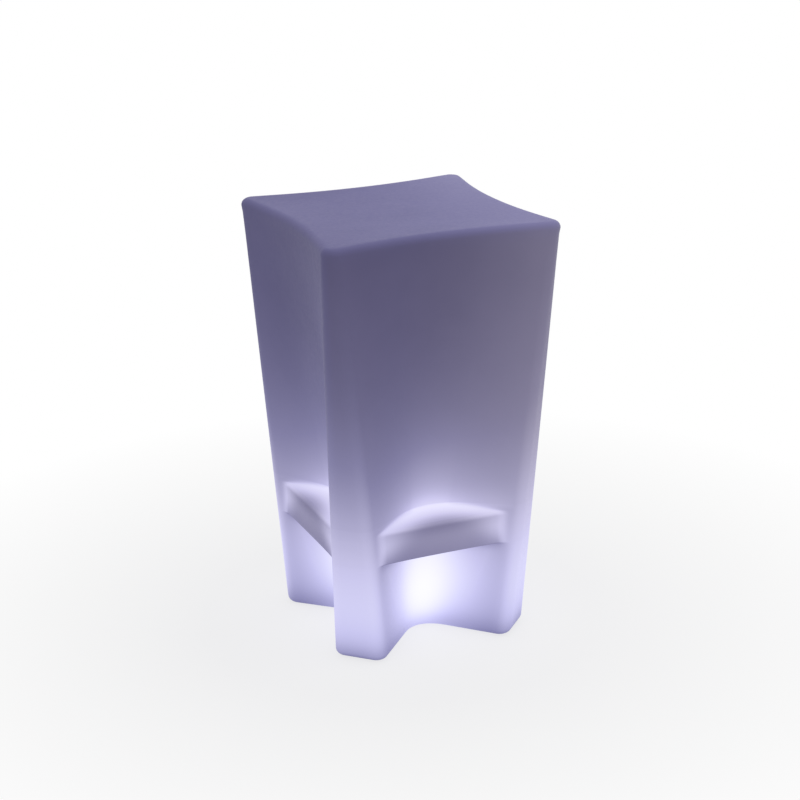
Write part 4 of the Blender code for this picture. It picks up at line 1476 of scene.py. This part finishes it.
# %% Recipes for the finishes
finish_recipes = {
    "black_rubber": dict(tones=((0.020, 0.020, 0.022), (0.036, 0.035, 0.036)), roughness=(0.68, 0.86),
                         patch=70.0, grain=2600.0, depth=0.00008),
    "zinc_plated_steel": dict(tones=((0.55, 0.56, 0.57), (0.68, 0.67, 0.62)), roughness=(0.26, 0.42),
                              patch=240.0, grain=3000.0, depth=0.00002, metallic=1.0, stretch=(1, 1, 0.2)),
    "brass": dict(tones=((0.66, 0.45, 0.17), (0.78, 0.58, 0.27)), roughness=(0.22, 0.38),
                  patch=180.0, grain=2500.0, depth=0.00002, metallic=1.0, stretch=(0.2, 0.2, 4)),
    "white_moulded_housing": dict(tones=((0.76, 0.76, 0.73), (0.82, 0.82, 0.80)), roughness=(0.36, 0.50),
                                  patch=40.0, grain=1800.0, depth=0.00005),
    "grey_silicone": dict(tones=((0.27, 0.27, 0.29), (0.33, 0.33, 0.35)), roughness=(0.52, 0.68),
                          patch=120.0, grain=2200.0, depth=0.00003),
    "blue_cell_sleeve": dict(tones=((0.040, 0.120, 0.38), (0.060, 0.160, 0.46)), roughness=(0.28, 0.44),
                             patch=60.0, grain=300.0, depth=0.00006, stretch=(0.3, 1, 1)),
    "black_plastic": dict(tones=((0.024, 0.024, 0.025), (0.036, 0.036, 0.037)), roughness=(0.38, 0.55),
                          patch=90.0, grain=2000.0, depth=0.00005),
    "nickel_strip": dict(tones=((0.61, 0.59, 0.54), (0.70, 0.68, 0.62)), roughness=(0.18, 0.32),
                         patch=150.0, grain=2400.0, depth=0.00002, metallic=1.0, stretch=(1, 0.1, 1)),
    "red_lead_sleeve": dict(tones=((0.48, 0.025, 0.022), (0.60, 0.040, 0.035)), roughness=(0.36, 0.50),
                            patch=110.0, grain=1500.0, depth=0.00002),
}


grain_detail = 3.0


def two_tones(tree, drift, tones):
    """A colour that drifts between two tones over the middle range of a noise."""
    return ramp(tree, drift, tuple(zip(noise_range, tones)))


def link_surface(tree, shader, colour, drift, roughness):
    """Link a colour to the shader, and a drift as its roughness between two values."""
    tree.links.new(colour, shader.inputs["Base Color"])
    tree.links.new(map_range(tree, drift, *roughness), shader.inputs["Roughness"])


def grained(name, tones, roughness, patch, grain, depth, metallic=0.0, stretch=(1, 1, 1)):
    """Finish whose colour and roughness drift in patches, with a grain in its bump."""
    material, tree, shader = new_material(name + "_finish", roughness[0], metallic)
    drift = noise(tree, patch, grain_detail, stretch)
    link_surface(tree, shader, two_tones(tree, drift, tones), drift, roughness)
    add_bump(tree, shader, noise(tree, grain, grain_detail, stretch), depth)
    return material


print("grained finishes:", ", ".join(finish_recipes))

# %% [markdown]
# ## Finishes with a pattern or a light
#
# Foam shows its cut bubbles, a circuit board shows tracks under its solder mask, and the opal dome
# glows. The bubbles and the tracks both come from Voronoi cells: from the distance to a cell's
# middle, and from the distance to its edge. Tracks could be drawn one by one, but they lie inside
# the sealed module, where a pattern at the right scale is enough.

# %% Foam, boards and opal plastic
foam_tones = ((0.1, (0.14, 0.14, 0.14)), (0.7, (0.27, 0.27, 0.27)))
foam_cells = 900.0
foam_roughness = (0.88, 0.98)
foam_patch = 200.0
foam_depth = 0.0004
track_edge, mask_edge = 0.02, 0.06
board_roughness = (0.30, 0.45)
board_patch = 300.0
track_depth = 0.00003
opal_tones = ((0.86, 0.86, 0.90), (0.92, 0.92, 0.95))
opal_light = ((0.74, 0.73, 0.88), (0.86, 0.85, 0.98))
opal_patch = 25.0
opal_roughness = (0.26, 0.36)
opal_grain = 600.0
opal_depth = 0.00003
board_recipes = {
    "white_led_board": dict(mask=(0.84, 0.84, 0.81), track=(0.74, 0.74, 0.70), scale=160.0),
    "green_control_board": dict(mask=(0.025, 0.17, 0.06), track=(0.06, 0.30, 0.11), scale=220.0),
}


def voronoi(tree, scale, feature="F1"):
    """Distance to the cells of a Voronoi pattern on object coordinates."""
    place = new_node(tree, "TexCoord")
    cells = new_node(tree, "TexVoronoi", Scale=scale)
    cells.feature = feature
    tree.links.new(place.outputs["Object"], cells.inputs["Vector"])
    return cells.outputs["Distance"]


def foam():
    """Closed-cell foam: dark walls round pale bubbles, cut open at the surface."""
    material, tree, shader = new_material("grey_foam_finish", foam_roughness[0])
    bubble = voronoi(tree, foam_cells)
    link_surface(tree, shader, ramp(tree, bubble, foam_tones), noise(tree, foam_patch), foam_roughness)
    add_bump(tree, shader, bubble, foam_depth)
    return material


def board(name, mask, track, scale):
    """Circuit board: solder mask over tracks that follow the edges of a Voronoi pattern."""
    material, tree, shader = new_material(name + "_finish", board_roughness[0])
    edge = voronoi(tree, scale, "DISTANCE_TO_EDGE")
    colour = ramp(tree, edge, ((track_edge, track), (mask_edge, mask)))
    link_surface(tree, shader, colour, noise(tree, board_patch), board_roughness)
    add_bump(tree, shader, edge, track_depth)
    return material


def opal():
    """Opal plastic that glows evenly from the diodes behind it."""
    material, tree, shader = new_material("opal_lens_finish", opal_roughness[0])
    drift = noise(tree, opal_patch)
    link_surface(tree, shader, two_tones(tree, drift, opal_tones), drift, opal_roughness)
    tree.links.new(two_tones(tree, drift, opal_light), shader.inputs["Emission Color"])
    shader.inputs["Emission Strength"].default_value = 1.0
    add_bump(tree, shader, noise(tree, opal_grain), opal_depth)
    return material


print("boards:", ", ".join(board_recipes))

# %% Make all the finishes
finishes = {name: grained(name, **recipe) for name, recipe in finish_recipes.items()}
finishes["grey_foam"] = foam()
finishes["opal_lens"] = opal()
finishes.update({name: board(name, **recipe) for name, recipe in board_recipes.items()})
finishes["frosted_polyethylene"] = shell.data.materials[0]
print("finishes:", ", ".join(sorted(finishes)))

# %% [markdown]
# ## Place the small parts
#
# Every finished piece takes the place of its CAD node and rides on the same body, so the button
# still presses and the cover still swings. The sealed parts inside the module keep their CAD
# shapes, which are right already, and only get the finish of their slot.

# %% Give every CAD node the finish of its slot
for part in frame["record"]["subparts"]:
    for material_slot in nodes[part["node"]].material_slots:
        material_slot.material = finishes[part["material_slot"]]

# %% Put the pieces in
def small_piece(mesh, body, slot, node):
    """Put one small piece in the place of its CAD node."""
    return finish_piece(mesh, body, [node], finishes[slot])


for foot, (right, back) in feet.items():
    place = (right * foot_along, back * foot_along)
    pad = pad_mesh("tread_pad_" + foot, place)
    small_piece(pad, "stool", "black_rubber", "foot_pad_" + foot)
    screw = screw_mesh("pan_head_screw_" + foot, place, foot_screw_seat, foot_head, foot_screw_top)
    small_piece(screw, "stool", "zinc_plated_steel", "foot_screw_" + foot)
for number, place in enumerate(module_places, 1):
    screw = screw_mesh(f"flange_screw_{number}", place, module_screw_seat, module_head, module_screw_top)
    small_piece(screw, "stool", "zinc_plated_steel", f"module_screw_{number}")
for make_mesh, body, slot, node in (
        (housing_mesh, "stool", "white_moulded_housing", "module_housing"),
        (dome_mesh, "stool", "opal_lens", "diffuser_dome"),
        (button_mesh, "power_button", "grey_silicone", "button_cap"),
        (cover_mesh, "socket_cover", "grey_silicone", "charge_cover"),
        (anchor_mesh, "stool", "grey_silicone", "cover_anchor"),
        (socket_mesh, "stool", "black_plastic", "charge_socket")):
    piece = small_piece(make_mesh(), body, slot, node)
    print(piece.name, "has", len(piece.data.polygons), "faces")

# %% [markdown]
# ## Floor, backdrop and light
#
# The light is a plain soft studio: a wide lamp overhead and an even white surrounding, together at
# a level where a colour looks as it is written. The floor is pale and catches the stool's shadow.
# Only to the camera, in reflections and through glass, it turns to plain white further out, so the
# picture has the white ground of a catalogue photograph. More light would whiten it too, but it
# would wash out the glow of the stool.

# %% What is seen as white
white_rays = ("Is Camera Ray", "Is Glossy Ray", "Is Transmission Ray")


def joined(tree, operation, first, second):
    """Two values joined by one step of arithmetic."""
    node = new_node(tree, "Math", operation)
    tree.links.new(first, node.inputs[0])
    tree.links.new(second, node.inputs[1])
    return node.outputs["Value"]


def seen_directly(tree):
    """1 for what the camera, a reflection or glass shows, and 0 for light on its way to a surface."""
    rays = new_node(tree, "LightPath").outputs
    seen = rays[white_rays[0]]
    for name in white_rays[1:]:
        seen = joined(tree, "MAXIMUM", seen, rays[name])
    return seen


print("white is for:", ", ".join(white_rays))

# %% Build the floor
floor_size = 12.0
floor_tone = (0.84, 0.84, 0.85)
floor_roughness = 0.9
white_range = (0.35, 1.1)
near_white_share = 0.75


def floor_material():
    """Pale floor that is seen as white away from the stool, where no shadow has to show."""
    material, tree, shader = new_material("pale_floor", floor_roughness)
    shader.inputs["Base Color"].default_value = (*floor_tone, 1.0)
    shader.inputs["Specular IOR Level"].default_value = 0.0
    distance = new_node(tree, "VectorMath", "LENGTH")
    tree.links.new(new_node(tree, "TexCoord").outputs["Object"], distance.inputs[0])
    share = map_range(tree, distance.outputs["Value"], near_white_share, 1.0, white_range)
    mix = new_node(tree, "MixShader")
    tree.links.new(joined(tree, "MULTIPLY", share, seen_directly(tree)), mix.inputs["Fac"])
    tree.links.new(shader.outputs["BSDF"], mix.inputs[1])
    tree.links.new(new_node(tree, "Emission").outputs["Emission"], mix.inputs[2])
    tree.links.new(mix.outputs["Shader"], tree.nodes["Material Output"].inputs["Surface"])
    return material


def build_floor():
    """A square floor, centred under the stool."""
    half = floor_size / 2
    mesh = bpy.data.meshes.new("floor")
    mesh.from_pydata([(-half, -half, 0.0), (half, -half, 0.0), (half, half, 0.0), (-half, half, 0.0)],
                     [], [(0, 1, 2, 3)])
    mesh.materials.append(floor_material())
    floor = bpy.data.objects.new("floor", mesh)
    bpy.context.scene.collection.objects.link(floor)


build_floor()
print("floor:", floor_size, "m square")

# %% Build the surrounding and the lamp
surrounding_level = 0.43
lamp_size = 2.2
lamp_height = 2.6
lamp_shift = 0.5
lamp_power = 15.0


def build_surrounding():
    """An even surrounding that the camera, reflections and glass see as white."""
    world = bpy.data.worlds.new("studio")
    world.use_nodes = True
    bpy.context.scene.world = world
    tree = world.node_tree
    background = tree.nodes["Background"]
    background.inputs["Color"].default_value = (1.0, 1.0, 1.0, 1.0)
    level = map_range(tree, seen_directly(tree), surrounding_level, 1.0, (0.0, 1.0))
    tree.links.new(level, background.inputs["Strength"])


def build_lamp():
    """One wide square lamp over the stool, shifted a little to its right."""
    data = bpy.data.lights.new("overhead_lamp", "AREA")
    data.size = lamp_size
    data.energy = lamp_power
    lamp = bpy.data.objects.new("overhead_lamp", data)
    lamp.location = (lamp_shift, 0.0, lamp_height)
    bpy.context.scene.collection.objects.link(lamp)


build_surrounding()
build_lamp()
print("lamp power", lamp_power, "surrounding", surrounding_level)
